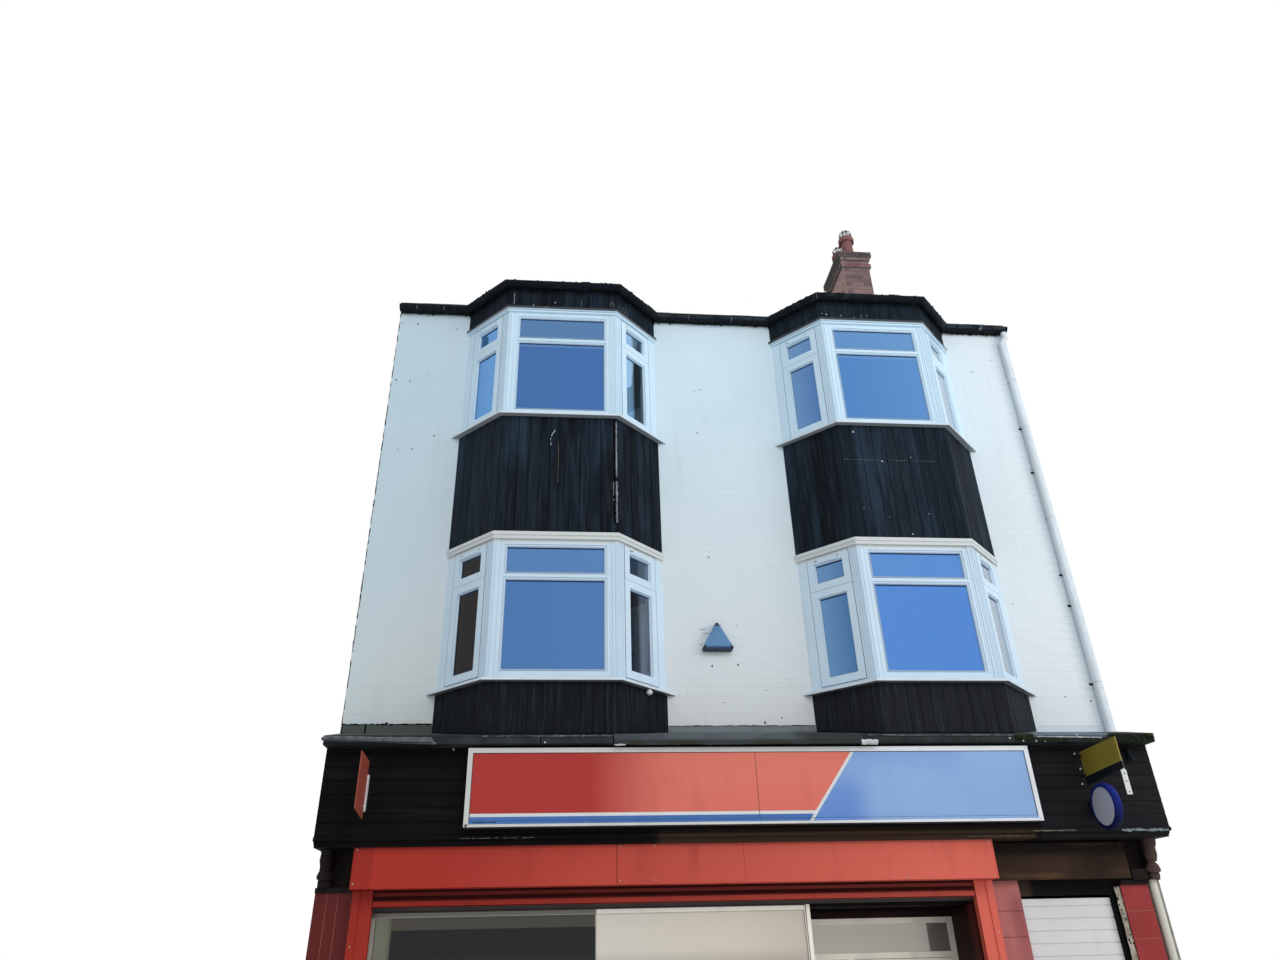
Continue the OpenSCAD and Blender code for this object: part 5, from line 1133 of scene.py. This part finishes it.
def leadRoll():
    # An uneven half-round roll over the capping's edge, squeezed in at its right end
    rng = random.Random(101)
    shape, stations = Shape(), 46
    (x0, x1), (z0, z1), (thin, thick) = leadwork["roll"], leadwork["rollZ"], leadwork["rollRadius"]
    wobble = [rng.uniform(-1, 1) for _ in range(stations + 1)]
    points = []
    for step in range(stations + 1):
        t = step / stations
        x = x0 + (leadwork["rollEnd"] - x0) * t
        pinched = x > x1
        radius = thin * (1 - t) + thick * t
        size = 0.95 + 0.06 * math.sin(t * 9) + 0.05 * wobble[step]
        size *= (0.45 if pinched else 1) * (0.6 if step in (0, stations) else 1)
        middleZ = z0 * (1 - t) + z1 * t + 0.002 * math.sin(t * 6 + 1) + 0.001 * wobble[step]
        middleZ -= 0.020 if pinched else 0
        for side in range(12):
            angle = 2 * math.pi * side / 12
            pinch = 1.0 + 0.10 * math.sin(3 * angle + 5 * t)
            points.append(Vector((x, leadwork["front"] - 0.006 + radius * 0.55 * size * pinch * math.cos(angle),
                                  middleZ + radius * size * pinch * math.sin(angle))))
    shape.add(points, quads(stations + 1, 12) + [list(range(11, -1, -1)),
                                                 list(range(12 * stations, 12 * stations + 12))])
    shape.piece("left_lead_roll", "lead", "pale_lead_roll")
    # A painted highlight along the roll's upper edge, broken in places, and painted shade along its lower one
    for name, finish, around, gaps in (("left_roll_bright_edge", "roll_top_highlight", (4, 5), 0.06),
                                       ("left_roll_dark_edge", "roll_underside", (7, 8), 0.0)):
        edge = Shape()
        for step in range(1, stations - 1):
            if rng.random() >= gaps:
                edge.add([points[12 * a + side] + Vector((0, -0.0015, 0.0005))
                          for a, side in rectangle(step, around[0], step + 1, around[1])], [[0, 1, 2, 3]])
        edge.piece(name, "lead", finish)
    upstand, line, wall = Shape(), Shape(), frontPlane(0)
    upstand.tile([(-3.828, 3.930), (-3.604, 3.930), (-3.604, 4.046), (-3.822, 4.040)], wall, 0.0135, 0.001)
    upstand.tile([(-3.598, 3.930), (-2.99, 3.930), (-2.99, 4.040), (-3.598, 4.046)], wall, 0.0135, 0.001)
    upstand.piece("left_lead_upstand", "lead")
    line.strips(wall, ((-3.601, 3.935, -3.601, 4.050, 6, 0.014, 0.0150, 0.002),
                       (-3.822, 4.044, -2.99, 4.046, 50, 0.010, 0.0150, 0.005),
                       (-3.819, 3.96, -3.819, 4.046, 6, 0.011, 0.0150, 0.003)), rng)
    line.piece("left_upstand_joints", "lead", "black_split")


def leadHood():
    # A dressed sheet from the slope down over the capping's edge, creased and with an uneven foot
    rng = random.Random(103)
    shape, columns = Shape(), 90
    (x0, x1), foot, front = leadwork["hood"], leadwork["hoodFoot"], leadwork["front"]
    rows = [(-0.40, 3.8705), (-0.52, 3.8405), (front - 0.004, 3.834), (front - 0.010, 3.820), (front - 0.012, 3.790),
            (front - 0.010, 3.765), (front - 0.011, foot), (front - 0.002, foot)]
    count = len(rows)
    points, drift = [], 0.0
    for column in range(columns + 1):
        x = x0 + (x1 - x0) * column / columns
        drift = drift * 0.8 + rng.uniform(-0.004, 0.004)
        crease = 0.003 * math.sin(x * 11) + 0.002 * math.sin(x * 31 + 1) + rng.uniform(-0.0008, 0.0008)
        for index, (y, z) in enumerate(rows):
            lift = drift if index >= 6 else 0.002 * math.sin(x * 7) if index < 2 else 0.0
            points.append(Vector((x, y - (abs(crease) if 3 <= index <= 6 else 0.0), z + lift)))
    shape.add(points, quads(columns + 1, count, False, True) + [
        list(range(count)), list(range(count * columns + count - 1, count * columns - 1, -1))])
    shape.piece("grey_lead_hood", "lead", "grey_lead_hood")


leadTrims = {
    "pale": ((-2.46, 3.815, -1.30, 3.818, 40, 0.010, 0.004, 0.004),
             (1.05, 3.818, 2.45, 3.812, 50, 0.008, 0.003, 0.003)),
    "bright": ((2.66, 3.799, 3.30, 3.788, 40, 0.009, 0.005, 0.002),),
    "clouts": ((2.40, 3.784), (2.525, 3.758), (2.65, 3.757), (2.735, 3.754), (-1.905, 3.760), (3.06, 3.812)),
    "moss": ((90, 2.62, 3.42, 3.750, 3.776, (0.006, 0.014)), (60, 2.46, 2.66, 3.765, 3.815, (0.008, 0.016)),
             (60, -1.15, -0.95, 3.745, 3.760, (0.004, 0.008)), (70, -0.9, -0.35, 3.742, 3.758, (0.004, 0.009)),
             (60, 0.0, 0.4, 3.742, 3.758, (0.004, 0.009)), (90, 1.05, 2.5, 3.752, 3.768, (0.004, 0.009)),
             (60, -2.4, -1.3, 3.806, 3.826, (0.004, 0.008)), (80, 3.36, 3.82, 3.752, 3.820, (0.006, 0.014)))}


def leadTrim():
    rng = random.Random(107)
    y = leadwork["front"]
    front, wall = frontPlane(y), frontPlane(0)
    plates, pale, bright, dark, clouts, moss, rags = (Shape() for _ in range(7))
    for x0, x1 in leadwork["plates"]:
        plates.tile(rectangle(x0, leadwork["plateZ"][0], x1, leadwork["plateZ"][1]), front, 0.006, 0.002)
    plates.piece("capping_plates", "lead")
    pale.strips(front, leadTrims["pale"], rng)
    pale.piece("rubbed_lead_edges", "lead", "pale_lead_roll")
    bright.strips(front, leadTrims["bright"], rng)
    bright.piece("right_bright_edge", "lead", "bright_worn_edge")
    dark.strips(wall, ((-0.72, 4.026, 0.72, 4.028, 40, 0.006, 0.0120, 0.003),), rng)
    dark.strips(front, [(x1 + 0.004, 3.750, x1 + 0.004, 3.808, 3, 0.010, 0.007) for x0, x1 in leadwork["plates"]])
    dark.flake(wall, -3.416, 4.060, 0.022, rng)
    dark.flake(wall, 0.226, 4.056, 0.018, rng)
    dark.piece("lead_joints", "lead", "black_split")
    for x, z in leadTrims["clouts"]:
        clouts.stud(front, x, z, 0.009, 0.006, out=0.004)
    clouts.piece("capping_clout_heads", "lead", "bright_bolts")
    for count, x0, x1, z0, z1, size in leadTrims["moss"]:
        for _ in range(count):
            moss.mound(Vector((rng.uniform(x0, x1), y - rng.uniform(0.0, 0.010), rng.uniform(z0, z1))),
                       rng.uniform(*size), rng)
    moss.piece("capping_moss", "lead", "moss")
    for x0, x1, z0, z1, out in ((0.974, 1.126, 3.728, 3.776, 0.022), (-1.289, -1.19, 3.728, 3.744, 0.012)):
        columns, points = 9, []
        for column in range(columns + 1):
            x = x0 + (x1 - x0) * column / columns
            for share in (0.0, 0.25, 0.5, 0.75, 1.0):
                swell = math.sin(math.pi * share) * out * rng.uniform(0.6, 1.2)
                points.append(Vector((x + rng.uniform(-0.003, 0.003), y - 0.010 - swell,
                                      z0 + (z1 - z0) * share + rng.uniform(-0.003, 0.004))))
        rags.add(points, quads(columns + 1, 5, False, True))
    rags.piece("white_sealant_lumps", "lead", "white_flakes")


leadRoll()
leadHood()
leadTrim()
print("leadwork dressed")


# Sign box: bare faces in their two colours, with the white line between them

signFace = {
    "left": -2.5355, "right": 2.5355, "foot": 3.112, "head": 3.683, "front": -0.4905, "thickness": 0.002,
    "stripeTop": 3.150, "lineTop": 3.178, "diagonalTop": 0.884, "diagonalFoot": 0.497, "lineWidth": 0.034,
    "joint": -0.010}


def frontPrism(name, outline, front, thickness, finish):
    # A flat outline in X and Z on the sign, standing thickness out from front
    shape = Shape()
    count = len(outline)
    shape.add([Vector((x, y, z)) for y in (front, front - thickness) for x, z in outline],
              quads(2, count) + [list(range(count, 2 * count))])
    shape.piece(name, "sign_face", finish)


def dressSign():
    s = signFace
    t, front, left, end, foot, head = (s[key] for key in ("thickness", "front", "left", "right", "foot", "head"))
    lean = (s["diagonalTop"] - s["diagonalFoot"]) / (head - s["lineTop"])
    stripeX = s["diagonalFoot"] - lean * (s["lineTop"] - s["stripeTop"])
    stripeAt = lambda z: stripeX - lean * (s["stripeTop"] - z)
    blueAt = lambda z: s["diagonalFoot"] + s["lineWidth"] - lean * (s["lineTop"] - z)
    frontPrism("sign_red_field", [(left, s["lineTop"]), (s["diagonalFoot"], s["lineTop"]), (s["diagonalTop"], head),
                                  (left, head)], front, t, "sign_red")
    frontPrism("sign_blue_field", [(blueAt(foot), foot), (end, foot), (end, head),
                                   (s["diagonalTop"] + s["lineWidth"], head)], front, t, "sign_pale_blue")
    frontPrism("sign_blue_stripe", [(left, foot), (stripeAt(foot), foot), (stripeX, s["stripeTop"]),
                                    (left, s["stripeTop"])], front, t, "sign_stripe_blue")
    frontPrism("sign_white_line", rectangle(left, foot, end, head), front + 0.0008, t * 0.5, "sign_white")
    # The colour runs on over the frame's lower lip
    lip, low, high = -0.5002, 3.092, 3.114
    frontPrism("sign_stripe_lip", [(left, low), (stripeAt(low), low), (stripeAt(high), high), (left, high)],
               lip, 0.0010, "sign_stripe_blue")
    frontPrism("sign_blue_lip", [(blueAt(low), low), (end, low), (end, high), (blueAt(high), high)],
               lip, 0.0010, "sign_pale_blue")
    rng = random.Random(113)
    details, screws, corner = Shape(), Shape(), Shape()
    face, box = frontPlane(front - t), frontPlane(-0.500)
    details.strip(face, (s["joint"], foot), (s["joint"], head), 2, 0.004, 0.0006)
    details.ring(face, (left, foot, end, head), ((0.0, 0.0), (0.0, 0.002), (0.005, 0.002), (0.005, 0.0)))
    details.piece("sign_joint_and_shadow", "sign_frame", "dark_gasket")
    for x in (-2.556, -1.53, -0.51, 0.51, 1.53, 2.556):
        for z in (3.091, 3.704):
            screws.stud(box, x, z, 0.006, 0.003)
    screws.piece("sign_frame_screws", "sign_frame", "bright_bolts")
    corner.flake(box, -2.553, 3.088, 0.018, rng)
    corner.strip(box, (-2.50, 3.105), (-2.30, 3.108), 12, 0.006, 0.0015, rng, 0.002)
    corner.piece("sign_corner_rust", "sign_frame", "dark_steel")


dressSign()
print("sign faces set")


# Fascia: bolts left in the boards, the worn moulding, the dirt line and a bracket at the right end

fascia = {
    "front": -0.380, "nose": -0.4005, "bolts": ((3.095, 3.673), (3.115, 3.534), (3.095, 3.399), (-2.722, 3.738)),
    "pale": ((3.35, 2.993, 3.80, 2.990, 30, 0.020, 0.0014, 0.006),),
    "duller": ((2.514, 2.996, 2.906, 2.995, 26, 0.012, 0.0012, 0.003),
               (1.886, 2.956, 2.51, 2.954, 30, 0.004, 0.0012, 0.0015)),
    "dullSpans": ((-2.60, -2.52), (-2.50, -2.28), (-2.24, -2.12), (-2.08, -1.97)),
    "moss": (220, (1.3, 2.62), 3.003), "bracket": (((3.600, -0.430, 3.60), (3.640, -0.378, 3.72)),
                                                   ((3.606, -0.455, 3.60), (3.634, -0.428, 3.635)))}


def dressFascia():
    f, rng = fascia, random.Random(127)
    bolts, pale, duller, green, hook = (Shape() for _ in range(5))
    for x, z in f["bolts"]:
        bolts.stud(frontPlane(f["front"]), x, z, 0.010, 0.008)
    bolts.piece("fascia_bolts", "black_fascia", "bright_bolts")
    pale.strips(frontPlane(f["nose"]), f["pale"], rng)
    duller.strips(frontPlane(f["nose"]), [*f["duller"], *((x0, 2.992, x1, 2.993, 10, 0.005, 0.0012, 0.003)
                                                          for x0, x1 in f["dullSpans"])], rng)
    pale.piece("worn_moulding_edge", "black_fascia", "lime_crust")
    duller.piece("dull_moulding_edge", "black_fascia", "worn_moulding_paint_and_shade")
    count, span, z = f["moss"]
    for _ in range(count):
        green.mound(Vector((rng.uniform(*span), f["nose"], z + rng.uniform(-0.006, 0.016))),
                    rng.uniform(0.003, 0.008), rng)
    green.piece("moulding_moss", "black_fascia", "moss")
    for low, high in f["bracket"]:
        hook.box(low, high)
    hook.piece("old_sign_bracket", "black_fascia", "black_gutter", bevel=0.004)


dressFascia()
print("fascia dressed")


# Projecting signs: bare panels that stand for the frame's plain ones

hanging = {
    "face": -0.41, "leftX": -3.443, "leftReach": 0.342, "leftZ": (3.151, 3.634), "leftHalf": 0.004,
    "leftLifts": (0.045, 0.024), "rightX": 3.13, "rightReach": 0.60, "rightZ": (3.381, 3.681), "band": 0.075,
    "rightHalf": 0.006, "rightLifts": (0.046, 0.033, 0.019),
    "roundZ": 3.17, "roundRadius": 0.20, "roundHalf": 0.035,
    "plate": (3.506, 3.560, 3.302, 3.525), "plateTop": 3.651}


def roundedPanel(name, x, half, y0, y1, z0, z1, corner, finish, lifts):
    # A panel square to the fascia, with round corners in side view, its outer foot and head lifted by lifts
    outline = []
    for cy, cz, turn in ((y1 - corner, z1 - corner, 0), (y0 + corner, z1 - corner, 90),
                         (y0 + corner, z0 + corner, 180), (y1 - corner, z0 + corner, 270)):
        for step in range(4):
            angle = math.radians(turn + step * 30)
            y, z = cy + corner * math.cos(angle), cz + corner * math.sin(angle)
            share = (z - z0) / (z1 - z0)
            outline.append((y, z + (lifts[0] * (1 - share) + lifts[1] * share) * (y1 - y) / (y1 - y0)))
    shape = Shape()
    count = len(outline)
    shape.add([Vector((end, y, z)) for end in (x - half, x + half) for y, z in outline],
              quads(2, count, turned=True) + [list(range(count)), list(range(2 * count - 1, count - 1, -1))])
    return shape.piece(name, "sign_plastic", finish, bevel=0.002)


def hangSigns():
    h = hanging
    face, x, back = h["face"], h["rightX"], -0.378
    left = roundedPanel("left_sign", h["leftX"], h["leftHalf"], face - h["leftReach"], face, *h["leftZ"], 0.012,
                        "dull_red_panel", h["leftLifts"])
    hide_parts("projecting_signs")
    channel, rim, disc, bracket, arms, rightArms, holes = (Shape() for _ in range(7))
    channel.box((h["leftX"] - h["leftHalf"], face - 0.004, 3.218), (h["leftX"] + 0.015, back, 3.518))
    channel.piece("left_sign_channel", "sign_plastic", "sign_white")
    foot, head = h["rightZ"]
    for name, z0, z1, finish, lifts in (
            ("right_sign", foot + h["band"], head, "olive_yellow_panel", h["rightLifts"][1:]),
            ("right_sign_band", foot, foot + h["band"], "black_gutter", h["rightLifts"][:2])):
        roundedPanel(name, x, h["rightHalf"], face - h["rightReach"], face, z0, z1, 0.010, finish, lifts)
    middle = Vector((x, face - h["roundRadius"], h["roundZ"]))
    r, w = h["roundRadius"], h["roundHalf"]
    rim.lathe(middle, right, [(-w + 0.006, r * 0.80), (-w, r * 0.84), (-w + 0.004, r * 0.95), (-w * 0.3, r),
                              (w * 0.3, r), (w - 0.004, r * 0.95), (w, r * 0.84), (w - 0.006, r * 0.80)], 48)
    rim.piece("round_sign_rim", "sign_plastic", "navy_rim")
    disc.lathe(middle, right, [(-w, 0.0001), (-w + 0.001, r * 0.5), (-w + 0.005, r * 0.815),
                               (w - 0.005, r * 0.815), (w - 0.001, r * 0.5), (w, 0.0001)], 48)
    disc.piece("round_sign_face", "sign_plastic", "pale_round_face")
    bracket.box((x - 0.03, face - 0.02, h["roundZ"] - 0.045), (x + 0.03, back, h["roundZ"] + 0.045))
    bracket.box((x - 0.022, -0.392, h["roundZ"] - 0.07), (x + 0.022, back, h["roundZ"] + 0.07))
    bracket.piece("round_sign_bracket", "sign_plastic", "black_gutter", bevel=0.003)
    for z0, z1 in ((3.25, 3.27), (3.49, 3.51)):
        arms.box((h["leftX"] - 0.008, face - 0.02, z0), (h["leftX"] + 0.008, back, z1))
    x0, x1, z0, z1 = h["plate"]
    arms.box((x0, -0.390, z0), (x1, -0.379, z1))
    arms.box((x0 + 0.016, -0.392, z1 - 0.008), (x1 - 0.014, -0.379, h["plateTop"]))
    arms.piece("sign_arms", "sign_plastic", "sign_white", bevel=0.0015)
    for z in (3.46, 3.63):
        rightArms.box((x - 0.012, face - 0.03, z), (x + 0.012, back, z + 0.02))
    rightArms.piece("right_sign_arms", "sign_plastic", "dark_steel", bevel=0.0015)
    for z in (3.325, 3.42, 3.49):
        holes.stud(frontPlane(-0.390), (x0 + x1) / 2, z, 0.007, 0.0012)
    holes.piece("plate_holes", "sign_plastic", "black_split")


hangSigns()
print("signs hung")


# Shopfront: rivets and joints of the shutter box, seals, tile joints, door furniture, worn jamb

shopfront = {
    "boxFront": -0.304, "boxRivets": ((-3.471, 2.925), (-3.476, 2.660), (-1.234, 2.925), (-0.927, 2.925),
                                      (-1.234, 2.652), (-0.925, 2.651), (1.316, 2.640), (2.111, 2.925),
                                      (2.108, 2.640)),
    "boxSeam": (-1.259, 2.625, -1.259, 2.936, 2, 0.003, 0.0006), "guideFront": -0.140,
    "guideX": (-3.470, 2.117), "guideRivets": (0.4, 1.0, 1.6, 2.2), "pilasterFront": -0.060,
    "pilasters": ((2.147, 2.428, (2.364, 2.156)), (3.402, 3.668, (2.344, 2.12))),
    "tileJoints": (1.86, 1.56, 1.26, 0.96, 0.66, 0.36), "edgeJoints": (-3.726, -3.634),
    "riser": (-3.498, 0.479, 0.105), "riserTile": (0.199, 0.104), "windowSpan": (-3.462, 0.556, 0.443, 2.453),
    "jamb": (3.341, 3.400, 0.02, 2.545), "doorPane": (1.075, 0.280, 1.835, 1.916), "pull": (1.120, 0.455, 0.95),
    "pullLength": 0.42, "pullStays": (1.00, 1.32), "kickPlate": (1.000, 0.115, 1.910, 0.270),
    "rail": (2.434, 0.104, 3.298, 0.190), "lock": (2.80, 0.125, 2.93, 0.172)}


def dressShutterBox():
    s = shopfront
    rivets, seams, shadeLines = Shape(), Shape(), Shape()
    face = frontPlane(s["boxFront"])
    for x, z in s["boxRivets"]:
        rivets.stud(face, x, z, 0.006, 0.004)
    for x in s["guideX"]:
        for z in s["guideRivets"]:
            rivets.stud(frontPlane(s["guideFront"]), x, z, 0.006, 0.004)
    rivets.piece("shutter_rivets", "red_steel", "bright_bolts")
    seams.strips(face, [s["boxSeam"]])
    seams.piece("shutter_box_seams", "red_steel", "dark_steel")
    # Painted shade: dark lines in the curtain's folds under the box, on the rail and along the window head
    for y, x0, x1, z, width in ((-0.1103, -3.325, 1.972, 2.610, 0.020), (-0.1103, -3.325, 1.972, 2.557, 0.030),
                                (-0.1203, -3.325, 1.972, 2.489, 0.006), (-0.0008, -3.335, 0.478, 2.457, 0.006)):
        shadeLines.strip(frontPlane(y), (x0, z), (x1, z), 2, width, 0.0012)
    shadeLines.piece("shutter_shade_lines", "red_steel", "dark_red_shade_and_joints")


def dressPilasters():
    s, rng = shopfront, random.Random(131)
    face, wall = frontPlane(s["pilasterFront"]), frontPlane(0.0)
    lines, darkLines, tiles = Shape(), Shape(), Shape()
    lines.strips(face, [(x, 0.0, x, 2.609, 2, 0.0035, 0.0008) for x in s["edgeJoints"]])
    for (x0, x1, heights), kind in zip(s["pilasters"], (darkLines, lines)):
        kind.strips(face, [(x0 + 0.002, z, x1 - 0.002, z, 2, 0.0035, 0.0008) for z in (*heights, *s["tileJoints"])])
    darkLines.piece("middle_pilaster_joints", "red_tile", "dark_red_shade_and_joints")
    lines.piece("pilaster_joints", "red_tile", "tile_grout")
    (left, end, foot), (width, height) = s["riser"], s["riserTile"]
    for row in range(4):
        x, z = left, foot + row * height
        while x < end - 0.001:
            tiles.tile(rectangle(x + 0.002, z + 0.002, min(x + width, end) - 0.001, z + height - 0.002), wall,
                       0.006 + rng.uniform(-0.0005, 0.0005), 0.003, rng.random())
            x += width
    tiles.piece("stall_riser_tiles", "red_tile")


def dressJamb():
    rng = random.Random(137)
    x0, x1, z0, z1 = shopfront["jamb"]
    face, middle = frontPlane(-0.048), (x0 + x1) / 2
    paint, chips = Shape(), Shape()
    paint.strip(face, (middle, z0), (middle, z1), 90, x1 - x0 - 0.006, 0.0012, rng, 0.003)
    paint.piece("peeling_jamb", "black_fascia", "peeling_jamb_paint")
    for _ in range(46):
        chips.flake(face, rng.uniform(x0 + 0.006, x1 - 0.004), rng.uniform(z0, z1), rng.uniform(0.006, 0.016), rng)
    chips.piece("jamb_chips", "black_fascia", "black_split")


def dressShopWindow():
    s = shopfront
    seals, handle, kick = Shape(), Shape(), Shape()
    seals.ring(frontPlane(0), s["windowSpan"], ((0.0, -0.001), (0.0, 0.002), (0.006, 0.002), (0.006, -0.001)))
    seals.ring(frontPlane(0.519), s["doorPane"], ((0.0, 0.010), (0.008, 0.010), (0.008, -0.001)))
    seals.piece("shop_glass_seals", "shop_aluminium", "dark_gasket")
    x, y, z = s["pull"]
    handle.lathe(Vector((x, y, z)), up, [(0, 0.0001), (0, 0.014), (s["pullLength"], 0.014),
                                         (s["pullLength"], 0.0001)], 16)
    for z in s["pullStays"]:
        handle.lathe(Vector((x, y, z)), inward, [(0, 0.009), (0.048, 0.009), (0.048, 0.0001)], 12)
    handle.box((1.30, 0.490, 0.98), (1.62, 0.501, 1.04))
    handle.piece("door_pull", "shop_aluminium", "bright_bolts")
    kick.tile(rectangle(*s["kickPlate"]), frontPlane(0.500), 0.003, 0.002)
    kick.piece("door_kick_plate", "shop_aluminium")


def dressSideShutter():
    rail, lock = Shape(), Shape()
    rail.tile(rectangle(*shopfront["rail"]), frontPlane(0.0), 0.016, 0.003)
    rail.piece("side_shutter_rail", "white_slats")
    lock.tile(rectangle(*shopfront["lock"]), frontPlane(-0.016), 0.008, 0.002)
    lock.stud(frontPlane(-0.024), 2.865, 0.148, 0.012, 0.004, 16)
    lock.piece("side_shutter_lock", "white_slats", "dark_steel")


dressShutterBox()
dressPilasters()
dressJamb()
dressShopWindow()
dressSideShutter()
for node, width in (("alarm_box", 0.008), ("shutter_box", 0.003), ("sign_box", 0.002), ("bay_sills", 0.002),
                    ("ground_floor", 0.004)):
    edges = nodes[node].modifiers.new("worn_edges", "BEVEL")
    edges.width, edges.segments, edges.limit_method = width, 2, "ANGLE"
print("shopfront dressed")


# Stage, lights and camera

studio = {"floor": (0.86, 0.86, 0.85), "world": 0.58, "frontLamp": 900, "sideLamp": 800, "topLamp": 500}


def buildStage():
    mesh, size = bpy.data.meshes.new("floor"), 60
    mesh.from_pydata([(x, y, 0) for x, y in rectangle(-size, -size, size, size)], [], [[0, 1, 2, 3]])
    floor = bpy.data.objects.new("floor", mesh)
    floor.location.z = -0.002
    bpy.context.collection.objects.link(floor)
    material, tree = startMaterial("pale_floor", 0.9)
    colour = mixColour(tree, noiseFactor(tree, 0.7, 0.3, 0.7), studio["floor"], (0.83, 0.83, 0.82))
    tree.links.new(colour, tree.nodes["Principled BSDF"].inputs["Base Color"])
    mesh.materials.append(material)

    # Ambient light falls on the building, and the camera, mirrors and glass see plain white
    world = bpy.data.worlds.new("studio")
    bpy.context.scene.world = world
    world.use_nodes = True
    tree = world.node_tree
    back = tree.nodes["Background"]
    back.inputs["Color"].default_value = (0.93, 0.97, 1.0, 1.0)
    back.inputs["Strength"].default_value = studio["world"]
    white = addNode(tree, "ShaderNodeBackground", {"Color": (1, 1, 1, 1)})
    ray = addNode(tree, "ShaderNodeLightPath", {}).outputs
    seen = combine(tree, ray["Is Camera Ray"], ray["Is Glossy Ray"], "MAXIMUM")
    seen = combine(tree, seen, ray["Is Transmission Ray"], "MAXIMUM")
    mix = addNode(tree, "ShaderNodeMixShader", {"Fac": seen, 1: back.outputs[0], 2: white.outputs[0]})
    tree.links.new(mix.outputs[0], tree.nodes["World Output"].inputs["Surface"])


def addLamp(name, place, target, size, energy):
    light = bpy.data.lights.new(name, "AREA")
    light.shape, light.size, light.energy = "SQUARE", size, energy
    lamp = bpy.data.objects.new(name, light)
    lamp.location = place
    lamp.visible_glossy = False
    lamp.rotation_euler = (Vector(target) - Vector(place)).to_track_quat("-Z", "Y").to_euler()
    bpy.context.collection.objects.link(lamp)


camera = {"place": (-1.757, -8.40, 2.10), "focal": 858.96, "pitch": 28.86, "yaw": 5.50, "roll": -1.40,
          "imageWidth": 1280}


def buildCamera():
    pitch, yaw, roll = (math.radians(camera[key]) for key in ("pitch", "yaw", "roll"))
    forward = Vector((math.sin(yaw) * math.cos(pitch), math.cos(yaw) * math.cos(pitch), math.sin(pitch)))
    level = Vector((math.cos(yaw), -math.sin(yaw), 0))
    above = level.cross(forward)
    turnedRight = level * math.cos(roll) + above * math.sin(roll)
    turnedUp = above * math.cos(roll) - level * math.sin(roll)
    data = bpy.data.cameras.new("camera")
    data.sensor_width = 36
    data.lens = 36 * camera["focal"] / camera["imageWidth"]
    thing = bpy.data.objects.new("camera", data)
    turn = Matrix((turnedRight, turnedUp, -forward)).transposed().to_4x4()
    thing.matrix_world = Matrix.Translation(camera["place"]) @ turn
    bpy.context.collection.objects.link(thing)
    bpy.context.scene.camera = thing


buildStage()
addLamp("front_light", (3, -16, 14), (0, 0, 5), 9, studio["frontLamp"])
addLamp("side_light", (14, -9, 9), (1, 2, 5), 8, studio["sideLamp"])
addLamp("back_light", (-4, 20, 12), (0, 8, 5), 9, studio["topLamp"])
buildCamera()
bpy.context.scene.view_settings.view_transform = "Standard"
print("stage, lights and camera set")
